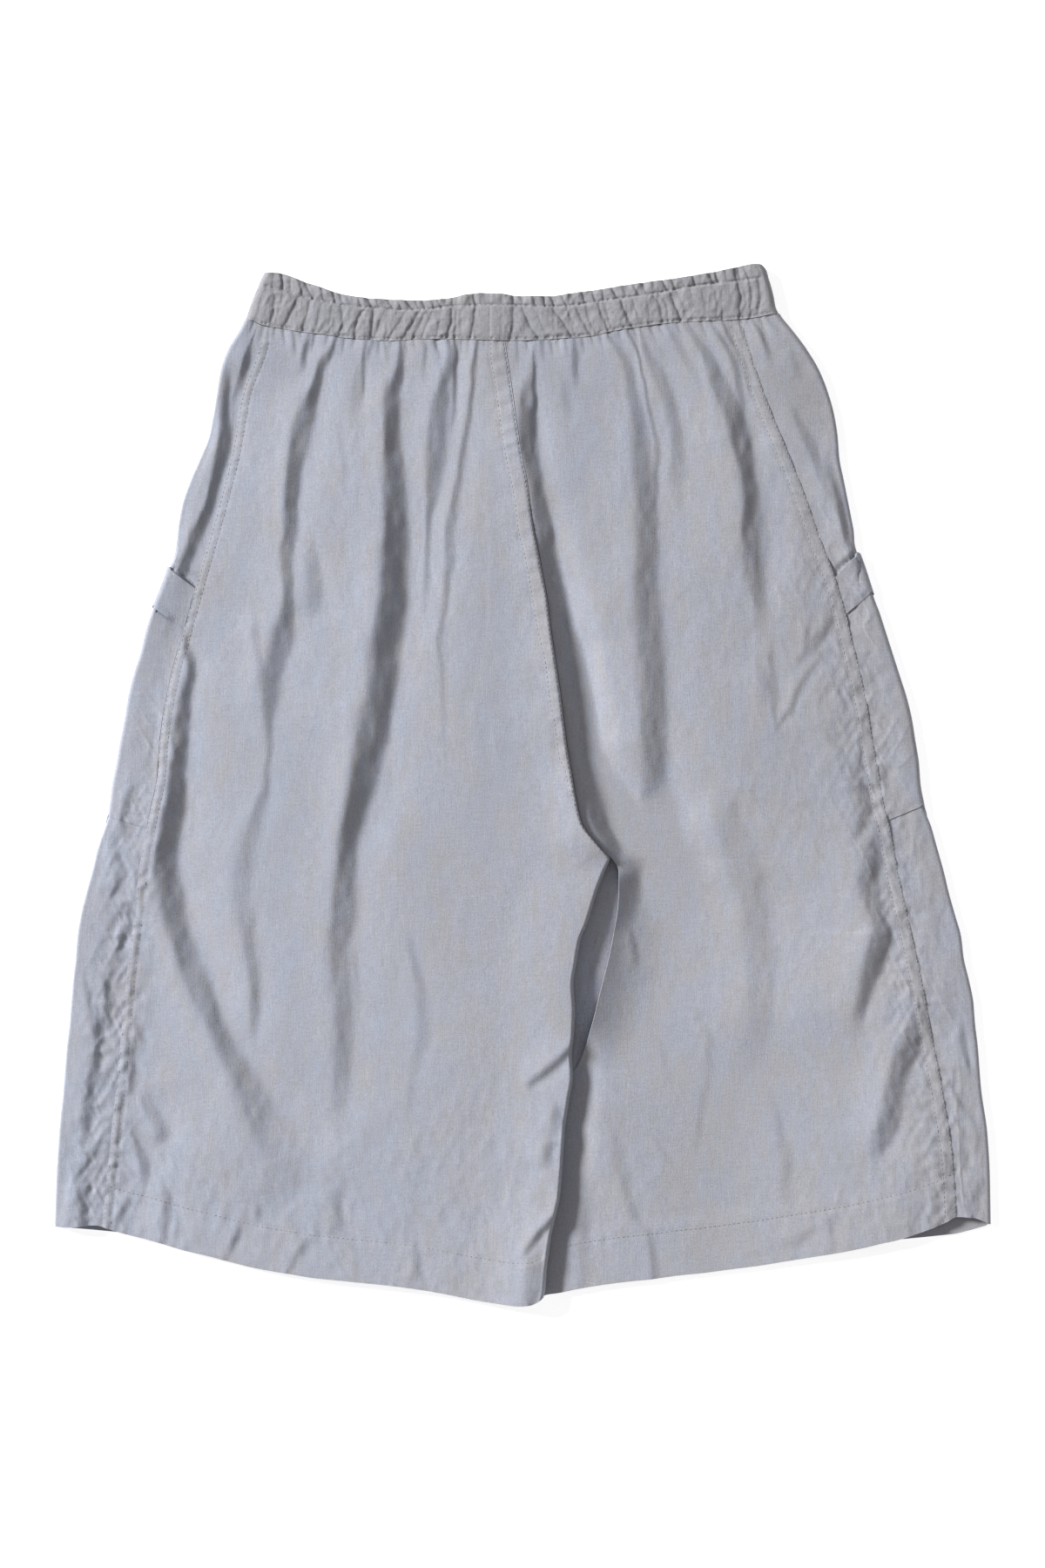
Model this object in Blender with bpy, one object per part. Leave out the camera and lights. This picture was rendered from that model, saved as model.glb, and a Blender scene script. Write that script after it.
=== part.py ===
"""Wide linen shorts, laid flat with the back facing up.

X runs across the garment, +Y towards the waist and +Z up from the surface that it lies on. The origin
is under the middle of the outline. Lengths in the tables are millimetres; mesh points are metres.

Lower layer: two front panels, flat on the surface. Upper layer: two back panels over a shallow hollow,
the left one lapping the right one from the crotch to the hem. A side panel wraps round each outer edge,
a patch pocket with a band along its mouth wraps round that, and a gathered ring holds the elastic.
"""

import bpy
import numpy as np

MM = 0.001

# Driving sizes, in millimetres.
CLOTH = 1.0  # wall of a single cloth
HEM_CLOTH = 1.8  # turned-up hem, where the cloth is doubled
HEM_DEPTH = 28.0
HEM_STEP = 2.0  # the wall thickens over this length
SEAM_GAP = 0.3
WAIST_GAP = 0.6
LAYER = CLOTH + SEAM_GAP  # one cloth lying on another
CASING = 3.0  # cloth, elastic and cloth
HEADER = 1.8  # doubled cloth above the elastic
LOFT = 9.6  # height of the upper layer's middle surface over the hollow
LOFT_REACH = 70.0  # how far in from the outer fold the upper layer reaches its full height
FOLD_RADIUS = 2.6  # of the side panel round the outer edge
WAIST_FOLD_RADIUS = (LOFT - CLOTH / 2) / 2  # the same at the waistband
FOLD_REACH = 46.0  # how far a crease is felt on each side
POCKET_BAND = 25.0
SIDE_WRAP_WAIST = 85.0  # side panel under the garment, from the outer fold to the front seam
SIDE_WRAP_LEG = 122.0
LAP_EASE = 0.4  # slack between the lapped legs
SHOULDER = 10.0  # slope at the left leg's inner edge
SINK_REACH = 30.0  # width over which the right leg climbs away from under the left leg
RAMP = 14.0  # cloth rises over the edge of a lower piece along this length
REACH_OVER = 3.0  # and this far past that edge
GATHER_PITCH = 5.6
GATHER_DEPTH = 0.6

# Outline sections, from the waist down. Each column is an X position at that Y.
SECTION_COLUMNS = ("y", "left_edge", "left_seam", "left_inner", "right_inner", "right_seam", "right_edge")
SECTIONS = (
    (304, -177, -162, -14, -14, 138, 164),
    (280, -190, -171, -10, -10, 148, 184),
    (252, -198, -180, -5, -5, 160, 198),
    (224, -203, -187, -1, -1, 169, 204),
    (196, -215, -194, 2, 2, 180, 208),
    (168, -222, -206, 5, 5, 189, 213),
    (140, -226, -215, 10, 10, 198, 219),
    (112, -237, -221, 15, 15, 207, 228),
    (56, -254, -230, 22, 22, 221, 247),
    (0, -264, -239, 30, 30, 231, 256),
    (-24, -269, -243, 38, 38, 236, 262),
    (-48, -276, -247, 56, 56, 241, 270),
    (-60, -280, -249, 52, 61, 243, 273),
    (-84, -285, -253, 44, 58, 249, 280),
    (-112, -289, -257, 34, 52, 255, 286),
    (-140, -292, -260, 30, 45, 261, 291),
    (-170, -295, -263, 31, 40, 267, 294),
    (-197, -297, -265, 31, 36, 272, 297),
    (-225, -299, -268, 27, 21, 277, 300),
    (-282, -303, -274, 20, 12, 281, 303),
    (-340, -303, -277, 9, 3, 283, 303),
)
CROTCH_Y = -48.0
LAP_TOP_Y = -150.0  # the left leg starts to climb over the right one here
LAP_Y = -188.0  # and lies on it from here to the hem

# Lower edge of the waistband, and each layer's hem: (x, y).
WAIST_LINE = (
    (-178, 298), (-163, 294.5), (-140, 291), (-112, 288), (-84, 286.5), (0, 286.5),
    (28, 288), (57, 291), (85, 294.5), (113, 298), (141, 300.5), (170, 303),
)
UPPER_HEM = (
    (-303, -284), (-287, -286), (-253, -293), (-219, -301), (-185, -309), (-152, -316), (-118, -320),
    (-84, -324), (-50, -329), (-17, -334.5), (6, -336), (16, -331), (34, -326.5), (85, -320), (118, -316),
    (152, -311), (186, -306), (220, -300), (248, -294), (262, -288.5), (279, -280.5), (287, -280), (303, -284),
)
LOWER_HEM = (
    (-303, -284), (-287, -287), (-253, -292), (-219, -299), (-152, -313), (-84, -321), (-17, -331),
    (10, -328), (85, -317), (152, -309), (220, -298), (248, -294.5), (270, -292), (287, -289.5), (303, -284),
)

# The largest creases, each a slope that faces right. Along its route: x, y, half-width, half-drop.
CREASE_COLUMNS = ("x", "y", "half_width", "half_drop")
CREASES = {
    "left_outer": ((-119, 285, 3, 0.4), (-133, 245, 5, 1.6), (-146, 190, 6, 2.2), (-152, 140, 6, 1.8),
                   (-160, 75, 6, 1.4), (-166, 10, 5, 0.8), (-176, -70, 7, 0.5), (-174, -160, 5, 0)),
    "left_middle": ((-80, 284, 3, 0.6), (-85, 240, 6, 2.2), (-83, 165, 8, 2.8), (-87, 100, 8, 2.9),
                    (-95, 45, 8, 2.7), (-107, 0, 7, 2.4), (-114, -60, 7, 2.0), (-115, -140, 7, 1.4),
                    (-118, -215, 6, 0)),
    "left_inner": ((-48, 284, 3, 0.8), (-54, 235, 7, 1.8), (-61, 180, 5, 1.0), (-63, 115, 3, 0)),
    "left_hip": ((-217, 92, 4, 0), (-220, 45, 4, 1.6), (-224, -20, 6, 2.2), (-230, -62, 6, 2.2),
                 (-212, -125, 7, 2.0), (-188, -182, 8, 1.5), (-158, -232, 11, 0.8), (-122, -275, 12, 0)),
    "right_middle": ((60, 288, 3, 0.6), (72, 240, 5, 1.6), (78, 180, 7, 2.2), (82, 110, 8, 2.3),
                     (84, 50, 7, 2.0), (88, -10, 6, 1.4), (95, -60, 6, 0)),
    "right_outer": ((112, 292, 4, 0.8), (132, 252, 5, 1.8), (146, 205, 6, 2.3), (150, 150, 7, 2.1),
                    (156, 112, 6, 1.0), (158, 60, 6, 0)),
    "right_low": ((131, 10, 6, 0), (142, -50, 8, 0.7), (156, -115, 8, 0.8), (163, -195, 7, 0.8),
                  (170, -270, 6, 0)),
    "right_hip": ((221, 0, 4, 0), (229, -45, 4, 1.6), (232, -95, 5, 1.9), (222, -140, 4, 0.8),
                  (218, -165, 4, 0)),
}

# Pocket mouth and base on each side panel, as Y at the back seam, the outer fold and the front seam.
POCKETS = {
    "left": {"top": (130, 141, 133), "bottom": (-26, -19, -48)},
    "right": {"top": (136, 146, 138), "bottom": (-24, -14, -44)},
}

# Base colours, linear.
LINEN = {
    "linen_panels": (0.43, 0.44, 0.49),
    "linen_pockets": (0.42, 0.43, 0.48),
    "linen_waistband": (0.40, 0.41, 0.46),
}


def smooth(value, low, high):
    """0 at low, 1 at high, and an eased step between them; low may be above high."""
    t = np.clip((np.asarray(value, float) - low) / (high - low), 0.0, 1.0)
    return t * t * (3 - 2 * t)


def eased_line(points):
    """A function through the points that never overshoots them (monotone cubic)."""
    x, y = np.array(sorted(points), float).T
    step, rise = np.diff(x), np.diff(y) / np.diff(x)
    slope = np.zeros(len(x))
    same = rise[:-1] * rise[1:] > 0
    slope[1:-1][same] = (2 * rise[:-1] * rise[1:] / np.where(same, rise[:-1] + rise[1:], 1))[same]
    slope[0], slope[-1] = rise[0], rise[-1]

    def at(value):
        value = np.clip(value, x[0], x[-1])
        i = np.clip(np.searchsorted(x, value) - 1, 0, len(step) - 1)
        t = (value - x[i]) / step[i]
        return (
            y[i] * (1 + 2 * t) * (1 - t) ** 2
            + y[i + 1] * t * t * (3 - 2 * t)
            + slope[i] * step[i] * t * (1 - t) ** 2
            - slope[i + 1] * step[i] * t * t * (1 - t)
        )

    return at


def section_line(column):
    """One column of SECTIONS as a function of Y, with a sharp corner kept at the crotch."""
    k = SECTION_COLUMNS.index(column)
    above = eased_line([(row[0], row[k]) for row in SECTIONS if row[0] >= CROTCH_Y])
    below = eased_line([(row[0], row[k]) for row in SECTIONS if row[0] <= CROTCH_Y])
    return lambda y: np.where(np.asarray(y) >= CROTCH_Y, above(y), below(y))


LINE = {column: section_line(column) for column in SECTION_COLUMNS[1:]}
waist_y = eased_line(WAIST_LINE)
upper_hem_y = eased_line(UPPER_HEM)
lower_hem_y = eased_line(LOWER_HEM)


def crease_height(x, y, route):
    """Raised just left of the route and sunk just right of it, fading with distance."""
    route = np.array(route, float)
    best = np.full(np.shape(x), np.inf)
    height = np.zeros(np.shape(x))
    for a, b in zip(route[:-1], route[1:]):
        run = b[:2] - a[:2]
        t = np.clip(((x - a[0]) * run[0] + (y - a[1]) * run[1]) / (run @ run), 0, 1)
        away_x = x - a[0] - t * run[0]
        away_y = y - a[1] - t * run[1]
        distance = np.hypot(away_x, away_y)
        side = np.sign(away_y * run[0] - away_x * run[1])
        half_width = a[2] + t * (b[2] - a[2])
        half_drop = a[3] + t * (b[3] - a[3])
        reach = side * distance / half_width
        wave = -half_drop * 2 * reach / (1 + reach**2) * np.exp(-((distance / FOLD_REACH) ** 2))
        nearer = distance < best
        best = np.where(nearer, distance, best)
        height = np.where(nearer, wave, height)
    return height


def top_edge_y(x):
    """Upper edge of every panel, just below the waistband."""
    return waist_y(x) - WAIST_GAP


def fold_radius(y):
    """Radius of the middle surface round the outer edge."""
    return FOLD_RADIUS + (WAIST_FOLD_RADIUS - FOLD_RADIUS) * smooth(y, 230, 285)


def plateau_height(x, y):
    """Middle surface of the upper layer: it climbs from the outer folds and carries the creases."""
    inward = np.minimum(x - LINE["left_edge"](y), LINE["right_edge"](y) - x)
    edge_loft = CLOTH / 2 + 2 * fold_radius(y)
    height = edge_loft + (LOFT - edge_loft) * smooth(inward, 0, LOFT_REACH)
    for route in CREASES.values():
        height = height + crease_height(x, y, route) * smooth(inward, 0, 20)
    return height


def hem_room(y):
    """Extra height that a doubled hem needs where the legs lap."""
    return (HEM_CLOTH - CLOTH) * smooth(y, -255, -278)


def inseam_height(y):
    """Middle surface of a back panel's edge where it lies on its front panel."""
    return CLOTH / 2 + LAYER + 2 * hem_room(y)


def lap_lift(y):
    """How far the left leg's inner edge is carried by the two cloths of the right leg."""
    return (2 * (LAYER + hem_room(y)) + LAP_EASE) * smooth(y, LAP_TOP_Y, LAP_Y)


def back_left_height(x, y):
    """The left back panel: full height, and down to the inseam below the crotch."""
    top = plateau_height(x, y)
    drop = 1 - smooth(LINE["left_inner"](y) - x, 0, SHOULDER)
    below_crotch = smooth(y, CROTCH_Y, CROTCH_Y - 40)
    return top - (top - inseam_height(y) - lap_lift(y)) * drop * below_crotch


def back_right_height(x, y):
    """The right back panel: a deep valley beside the centre seam, and under the left leg below it."""
    top = plateau_height(x, y)
    inward = x - LINE["left_inner"](y)
    climb = smooth(inward, 1, SINK_REACH)
    valley = smooth(inward, 0, 9) * (1 - smooth(inward, 12, 36))
    below_crotch = smooth(y, CROTCH_Y, CROTCH_Y - 15)
    sunk = smooth(y, 110, 0) * (valley * (1 - below_crotch) + (1 - climb) * below_crotch)
    open_rim = below_crotch * smooth(y, LAP_Y + 8, LAP_Y + 43)
    rim_rise = 2.4 * open_rim * smooth(x - LINE["right_inner"](y), 0, 4) * (1 - climb)
    return top - (top - inseam_height(y)) * sunk + rim_rise


def front_inner(y, side):
    """Inner edge of a front panel. The two meet down the middle and part only where the legs lap."""
    left, right = LINE["left_inner"](y), LINE["right_inner"](y)
    middle = (left + right) / 2
    lapped = smooth(y, LAP_Y - 7, LAP_Y - 19)
    own = left if side == "left" else right
    shift = -SEAM_GAP / 2 if side == "left" else SEAM_GAP / 2
    return middle * (1 - lapped) + own * lapped + shift


def front_seam(y, side):
    """Where the side panel ends under the garment."""
    wrap = SIDE_WRAP_WAIST + (SIDE_WRAP_LEG - SIDE_WRAP_WAIST) * smooth(y, 300, 120)
    return LINE["left_edge"](y) + wrap if side == "left" else LINE["right_edge"](y) - wrap


def front_height(x, y, side):
    """A front panel lies flat but for its seam over the pocket and, on the left leg, the lap."""
    inward = np.abs(x - front_seam(y, side))
    height = CLOTH / 2 + stack_lift(side, 3, y) * (1 - smooth(inward, REACH_OVER, 24))
    if side == "left":
        height = height + lap_lift(y) * smooth(x - LINE["right_inner"](y), -18, -4)
    return height


def pocket_line(side, edge, turn):
    """Y of a pocket's top or bottom edge at each place round the side panel."""
    back, fold, front = POCKETS[side][edge]
    return np.interp(turn, [0, 1.5, 3], [back, fold, front])


def stack_lift(side, turn, y):
    """Room under the cloth for the pocket and its band, with a ramp past each edge."""
    below_mouth = pocket_line(side, "top", turn) - y
    above_base = y - pocket_line(side, "bottom", turn)
    start = smooth(below_mouth, -REACH_OVER - RAMP, -REACH_OVER)
    pocket = start * smooth(above_base, -REACH_OVER - RAMP, -REACH_OVER)
    band = start * smooth(below_mouth, POCKET_BAND + REACH_OVER + RAMP, POCKET_BAND + REACH_OVER)
    return LAYER * (pocket + band)


def side_surface(side, turn, y):
    """Middle surface of a side panel. A turn of 0 to 1 goes from the back seam to the outer fold,
    1 to 2 goes round the fold, and 2 to 3 goes back underneath to the front seam."""
    sign = -1 if side == "left" else 1
    seam = LINE[side + "_seam"](y) + sign * SEAM_GAP / 2
    inner = front_seam(y, side) + sign * SEAM_GAP / 2
    radius = fold_radius(y)
    lift = stack_lift(side, turn, y) * smooth(turn, 1.1, 1.9)
    bend_x = LINE[side + "_edge"](y) - sign * radius
    crest = CLOTH / 2 + 2 * radius
    if turn <= 1:
        start = plateau_height(seam, y)
        return np.array([seam + (bend_x - seam) * turn, y, start + (crest - start) * smooth(turn, 0, 1)])
    if turn < 2:
        angle = np.pi * (turn - 1)
        over = radius * np.sin(angle)
        return np.array([bend_x + sign * over, y, crest - radius * (1 - np.cos(angle)) + lift])
    return np.array([bend_x + (inner - bend_x) * (turn - 2), y, CLOTH / 2 + lift])


def side_ends(side, turn):
    """Y of the side panel's top and hem at a place round it."""
    top, hem = 295.0, -290.0
    for _ in range(8):
        top_x, hem_x = side_surface(side, turn, top)[0], side_surface(side, turn, hem)[0]
        upper, lower = upper_hem_y(hem_x), lower_hem_y(hem_x)
        top = float(top_edge_y(top_x))
        hem = float(upper + (lower - upper) * smooth(turn, 1, 2))
    return top, hem


def even(start, end, count):
    """Evenly spaced values after start and before end."""
    return list(np.linspace(start, end, count + 2)[1:-1])


def side_rows(side, turn):
    """Y of each row round a side panel, with rows at the pocket's edges and the hem's stitches."""
    top, hem = side_ends(side, turn)
    mouth, base = (float(pocket_line(side, edge, turn)) for edge in ("top", "bottom"))
    ramp_top = mouth + REACH_OVER + RAMP
    band_foot = mouth - POCKET_BAND
    ramp_mid = band_foot - REACH_OVER - RAMP
    ramp_low = base - REACH_OVER - RAMP
    stitch = hem + HEM_DEPTH
    return (
        [top] + even(top, ramp_top, 5)
        + [ramp_top, mouth + REACH_OVER, mouth, band_foot, band_foot - REACH_OVER, ramp_mid]
        + even(ramp_mid, base, 3) + [base, base - REACH_OVER, ramp_low]
        + even(ramp_low, stitch + HEM_STEP, 8) + [stitch + HEM_STEP, stitch, hem]
    )


SIDE_TURNS = (0, 0.35, 0.7, 1, 1.25, 1.5, 1.75, 2, 2.3, 2.65, 3)
MOUTH_ROW, BAND_ROW, BASE_ROW, CROTCH_ROW, STEP_ROW = 8, 9, 15, 17, 26


def seam_shares(side, turn):
    """The side panel's rows as shares of the seam's length."""
    rows = np.array(side_rows(side, turn))
    return (rows[0] - rows) / (rows[0] - rows[-1])


def inner_shares(top, hem):
    """Row shares down a panel's inner edge, with one at the crotch and two at the hem's stitches."""
    length = top - hem
    crotch = (top - CROTCH_Y) / length
    stitch = 1 - HEM_DEPTH / length
    above = np.linspace(0, crotch, CROTCH_ROW, endpoint=False)
    below = np.linspace(crotch, stitch - HEM_STEP / length, STEP_ROW - CROTCH_ROW + 1)
    return np.concatenate([above, below, [stitch, 1]])


def panel_grid(lines, height, hem_y, shares):
    """Points of a panel. Each of its columns is a line across X, and has its own shares down Y."""
    columns = []
    for line, down in zip(lines, shares):
        top, hem = 290.0, -320.0
        for _ in range(10):
            top, hem = float(top_edge_y(line(top))), float(hem_y(line(hem)))
        y = top + (hem - top) * down
        columns.append(np.stack([line(y), y], axis=-1))
    x, y = np.moveaxis(np.array(columns), 2, 0).transpose(0, 2, 1)
    return np.stack([x, y, height(x, y)], axis=-1)


def blend(first, last, share):
    """A line at a share of the way from one line to another."""
    return lambda y: first(y) + (last(y) - first(y)) * share


def shift(line, by):
    """A line moved across X."""
    return lambda y: line(y) + by


def mix_shares(outer, inner, weights):
    """Row shares of each column, from the side seam's to the inner edge's."""
    return [outer * (1 - w) + inner * w for w in weights]


def unit(vectors):
    """The same directions with length 1."""
    return vectors / np.linalg.norm(vectors, axis=-1, keepdims=True)


def wall_directions(grid, closed, upright):
    """Normals of a grid, longer at its corners so that a wall keeps its thickness round them.
    They are vertical along the columns where two pieces meet."""
    loop = np.concatenate([grid, grid[:, :1]], axis=1) if closed else grid
    face = unit(np.cross(loop[1:, 1:] - loop[:-1, :-1], loop[:-1, 1:] - loop[1:, :-1]))
    face = np.pad(face, ((1, 1), (0, 0), (0, 0)), mode="edge")
    face = np.pad(face, ((0, 0), (1, 1), (0, 0)), mode="wrap" if closed else "edge")
    mean = (face[:-1, :-1] + face[1:, :-1] + face[:-1, 1:] + face[1:, 1:])[:, :grid.shape[1]] / 4
    normal = mean / np.clip(np.sum(mean**2, axis=-1, keepdims=True), 0.6, 1)
    for column in upright:
        normal[:, column] = np.sign(normal[:, column, 2:]) * (0, 0, 1)
    return normal


def add_solid(name, grid, material, above, below, closed=False, upright=()):
    """A cloth wall on both sides of a grid of points; a closed grid joins its last column to its first."""
    direction = wall_directions(grid, closed, upright)
    above = np.broadcast_to(above, grid.shape[:2])[..., None]
    below = np.broadcast_to(below, grid.shape[:2])[..., None]
    points = np.concatenate([(grid + direction * above).reshape(-1, 3), (grid - direction * below).reshape(-1, 3)])
    rows, columns = grid.shape[:2]
    last = rows - 1
    edge = columns - 1
    under = rows * columns

    def at(row, column, layer):
        return row * columns + column % columns + layer * under

    faces = []
    for column in range(columns if closed else edge):
        for row in range(last):
            ring = [(row, column), (row + 1, column), (row + 1, column + 1), (row, column + 1)]
            faces.append([at(r, c, 0) for r, c in ring])
            faces.append([at(r, c, 1) for r, c in reversed(ring)])
        faces.append([at(0, column, 0), at(0, column + 1, 0), at(0, column + 1, 1), at(0, column, 1)])
        faces.append([at(last, column + 1, 0), at(last, column, 0), at(last, column, 1), at(last, column + 1, 1)])
    if not closed:
        for row in range(last):
            faces.append([at(row + 1, 0, 0), at(row, 0, 0), at(row, 0, 1), at(row + 1, 0, 1)])
            faces.append([at(row, edge, 0), at(row + 1, edge, 0), at(row + 1, edge, 1), at(row, edge, 1)])
    mesh = bpy.data.meshes.new(name)
    mesh.from_pydata([tuple(p) for p in points * MM], [], faces)
    mesh.shade_smooth()
    mesh.set_sharp_from_angle(angle=np.radians(50))
    mesh.materials.append(linen(material))
    bpy.context.scene.collection.objects.link(bpy.data.objects.new(name, mesh))


def linen(name):
    """The matt cloth material of that name, made once."""
    if name in bpy.data.materials:
        return bpy.data.materials[name]
    material = bpy.data.materials.new(name)
    material.use_nodes = True
    shader = material.node_tree.nodes["Principled BSDF"]
    shader.inputs["Base Color"].default_value = (*LINEN[name], 1)
    shader.inputs["Roughness"].default_value = 0.85
    return material


def inner_wall(grid):
    """Thickness on the inside of a grid's points: a single cloth, doubled at the turned-up hem."""
    wall = np.full(grid.shape[:2], CLOTH / 2)
    wall[STEP_ROW + 1:] = HEM_CLOTH - CLOTH / 2
    return wall


def add_back_panels():
    """The two upper panels, from the side seams to the centre seam and inseams."""
    inner = inner_shares(286.2, -334.0)
    outer_line = shift(LINE["left_seam"], SEAM_GAP / 2)
    inner_line = LINE["left_inner"]
    weights = np.linspace(0, 1, 14)
    lines = [blend(outer_line, shift(inner_line, -SHOULDER), w) for w in weights[:-1]]
    lines += [shift(inner_line, -SHOULDER / 2), inner_line]
    weights = np.append(weights[:-1] * 0.96, [0.98, 1.0])
    shares = mix_shares(seam_shares("left", 0), inner, weights)
    left = panel_grid(lines, back_left_height, upper_hem_y, shares)
    add_solid("back_left", left, "linen_panels", CLOTH / 2, inner_wall(left), upright=(0, -1))

    outer_line = shift(LINE["right_seam"], -SEAM_GAP / 2)
    inner_line = shift(LINE["right_inner"], SEAM_GAP)

    def beside(y):
        return np.maximum(inner_line(y), LINE["left_inner"](y)) + 4

    lines = [inner_line, beside, shift(beside, 6), shift(beside, 14)]
    lines += [blend(shift(beside, 14), outer_line, w) for w in np.linspace(0, 1, 12)[1:]]
    weights = np.concatenate([[0, 0.02, 0.04, 0.07], np.linspace(0.07, 1, 12)[1:]])
    shares = mix_shares(seam_shares("right", 0), inner, 1 - weights)
    right = panel_grid(lines, back_right_height, upper_hem_y, shares)
    add_solid("back_right", right, "linen_panels", CLOTH / 2, inner_wall(right), upright=(0, -1))


def add_front_panels():
    """The two lower panels, flat on the surface."""
    inner = inner_shares(286.2, -329.0)

    def lap_edge(y):
        return np.minimum(LINE["left_inner"](y), LINE["right_inner"](y))

    def left_outer(y):
        return front_seam(y, "left") + SEAM_GAP / 2

    def right_outer(y):
        return front_seam(y, "right") - SEAM_GAP / 2

    def left_inner(y):
        return front_inner(y, "left")

    def right_inner(y):
        return front_inner(y, "right")

    lines = [
        left_outer, shift(left_outer, REACH_OVER), shift(left_outer, 24), blend(left_outer, lap_edge, 0.6),
        shift(lap_edge, -18), shift(lap_edge, -4), left_inner,
    ]
    shares = mix_shares(seam_shares("left", 3), inner, (0, 0.02, 0.15, 0.55, 0.85, 0.95, 1))
    grid = panel_grid(lines, lambda x, y: front_height(x, y, "left"), lower_hem_y, shares)
    add_solid("front_left", grid, "linen_panels", inner_wall(grid), CLOTH / 2, upright=(0, -1))
    lines = [
        right_inner, blend(right_inner, right_outer, 0.35), shift(right_outer, -24),
        shift(right_outer, -REACH_OVER), right_outer,
    ]
    shares = mix_shares(seam_shares("right", 3), inner, (1, 0.6, 0.15, 0.02, 0))
    grid = panel_grid(lines, lambda x, y: front_height(x, y, "right"), lower_hem_y, shares)
    add_solid("front_right", grid, "linen_panels", inner_wall(grid), CLOTH / 2, upright=(0, -1))


def add_side_panels():
    """A side panel round each outer edge, and its pocket and band made from its points, moved out."""
    for side in ("left", "right"):
        rows = [side_rows(side, turn) for turn in SIDE_TURNS]
        grid = np.array([[side_surface(side, turn, y) for y in ys] for turn, ys in zip(SIDE_TURNS, rows)])
        grid = grid.transpose(1, 0, 2)
        if side == "left":
            grid = grid[:, ::-1]
        out = wall_directions(grid, False, (0, -1))
        add_solid("side_" + side, grid, "linen_panels", CLOTH / 2, inner_wall(grid), upright=(0, -1))
        pocket = (grid + LAYER * out)[MOUTH_ROW:BASE_ROW + 1]
        add_solid("pocket_" + side, pocket, "linen_pockets", CLOTH / 2, CLOTH / 2, upright=(0, -1))
        band = (grid + 2 * LAYER * out)[MOUTH_ROW:BAND_ROW + 1]
        add_solid("pocket_band_" + side, band, "linen_pockets", CLOTH / 2, CLOTH / 2, upright=(0, -1))


# Waistband: the top edge and the upper stitch line, and the two ends of each row, as X.
BAND_TOP = (
    (-170, 327), (-163, 330), (-152, 328), (-140, 324.5), (-126, 319), (-112, 315.5), (-84, 312),
    (-56, 312.5), (-28, 316.5), (0, 314.5), (28, 316), (57, 320), (85, 324.5), (113, 328), (141, 334),
    (151, 336.4), (159, 332),
)
BAND_STITCH = (
    (-170, 322), (-156, 319.5), (-143, 315), (-126, 311), (-112, 309), (-84, 306.5), (-56, 306.5),
    (-28, 309), (28, 309), (57, 312), (85, 317), (113, 321), (141, 325.5), (160, 328),
)
BAND_ENDS = {"top": (-168, 158), "stitch": (-170, 160), "middle": (-175, 162), "bottom": (-177, 164)}
BAND_COLUMNS = 56


def add_waistband():
    """The gathered ring: a header above the upper stitch line, and the elastic's casing below it."""
    top_y, stitch_y = eased_line(BAND_TOP), eased_line(BAND_STITCH)
    row_lines = (
        ("top", top_y, HEADER, 0.7),
        ("stitch", stitch_y, HEADER, 0.2),
        ("middle", lambda x: (stitch_y(x) + waist_y(x)) / 2, CASING, 1.0),
        ("bottom", waist_y, HEADER, 0.0),
    )
    grid, wall = [], []
    for end, line_y, thickness, gather in row_lines:
        left, right = BAND_ENDS[end]
        radius = (LOFT - thickness / 2) / 2
        flat = np.linspace(left + radius, right - radius, BAND_COLUMNS)
        wave = GATHER_DEPTH * gather * np.where(np.arange(BAND_COLUMNS) % 2, 1.0, -1.0)
        turn = np.linspace(0, np.pi, 6)[1:-1]
        over, up = radius * np.sin(turn), radius * np.cos(turn) + radius + thickness / 2
        upper = list(zip(flat, LOFT + wave))
        right_end = list(zip(right - radius + over, up))
        lower = [(x, thickness / 2) for x in flat[::-2]]
        left_end = list(zip(left + radius - over, up))[::-1]
        ring = upper + right_end + lower + left_end
        grid.append([(x, float(line_y(x)), z) for x, z in ring])
        wall.append([thickness / 2] * len(ring))
    wall = np.array(wall)
    add_solid("waistband", np.array(grid), "linen_waistband", wall, wall, closed=True)


def main():
    for obj in list(bpy.data.objects):
        bpy.data.objects.remove(obj)
    bpy.context.scene.unit_settings.system = "METRIC"
    add_front_panels()
    add_side_panels()
    add_back_panels()
    add_waistband()


main()
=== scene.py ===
"""Linen shorts laid flat with the back up, seen from straight above.

Places on the cloth are given on a plan of 1200 by 1800 squares, counted right and down from its upper-left
corner. A square is 0.5625 mm, and the frame's origin is at the plan's middle. Heights are millimetres. The
bare numbers in the height functions are places and reaches in squares, and amounts in millimetres. Every
noise has a fixed seed.
"""

import math

import bpy
import numpy as np
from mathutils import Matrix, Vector


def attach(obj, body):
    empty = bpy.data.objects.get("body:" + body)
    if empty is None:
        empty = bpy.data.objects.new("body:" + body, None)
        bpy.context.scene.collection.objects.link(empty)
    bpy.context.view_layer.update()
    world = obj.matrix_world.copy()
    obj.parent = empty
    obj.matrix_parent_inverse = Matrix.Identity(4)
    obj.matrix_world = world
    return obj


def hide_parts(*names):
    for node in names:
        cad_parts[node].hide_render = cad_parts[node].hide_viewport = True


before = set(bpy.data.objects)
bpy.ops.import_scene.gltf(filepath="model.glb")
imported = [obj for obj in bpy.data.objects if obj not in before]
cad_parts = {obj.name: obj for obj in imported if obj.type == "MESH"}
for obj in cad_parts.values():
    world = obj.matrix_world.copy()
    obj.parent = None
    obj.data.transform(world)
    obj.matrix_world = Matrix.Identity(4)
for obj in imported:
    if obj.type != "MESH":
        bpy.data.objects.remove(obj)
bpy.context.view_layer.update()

SQUARE = 0.5625
MIDDLE = (599.5, 899.5)
SIDES = ("left", "right")
FACES = {"left": -1, "right": 1}  # which way along u a side's outer edge faces

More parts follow.
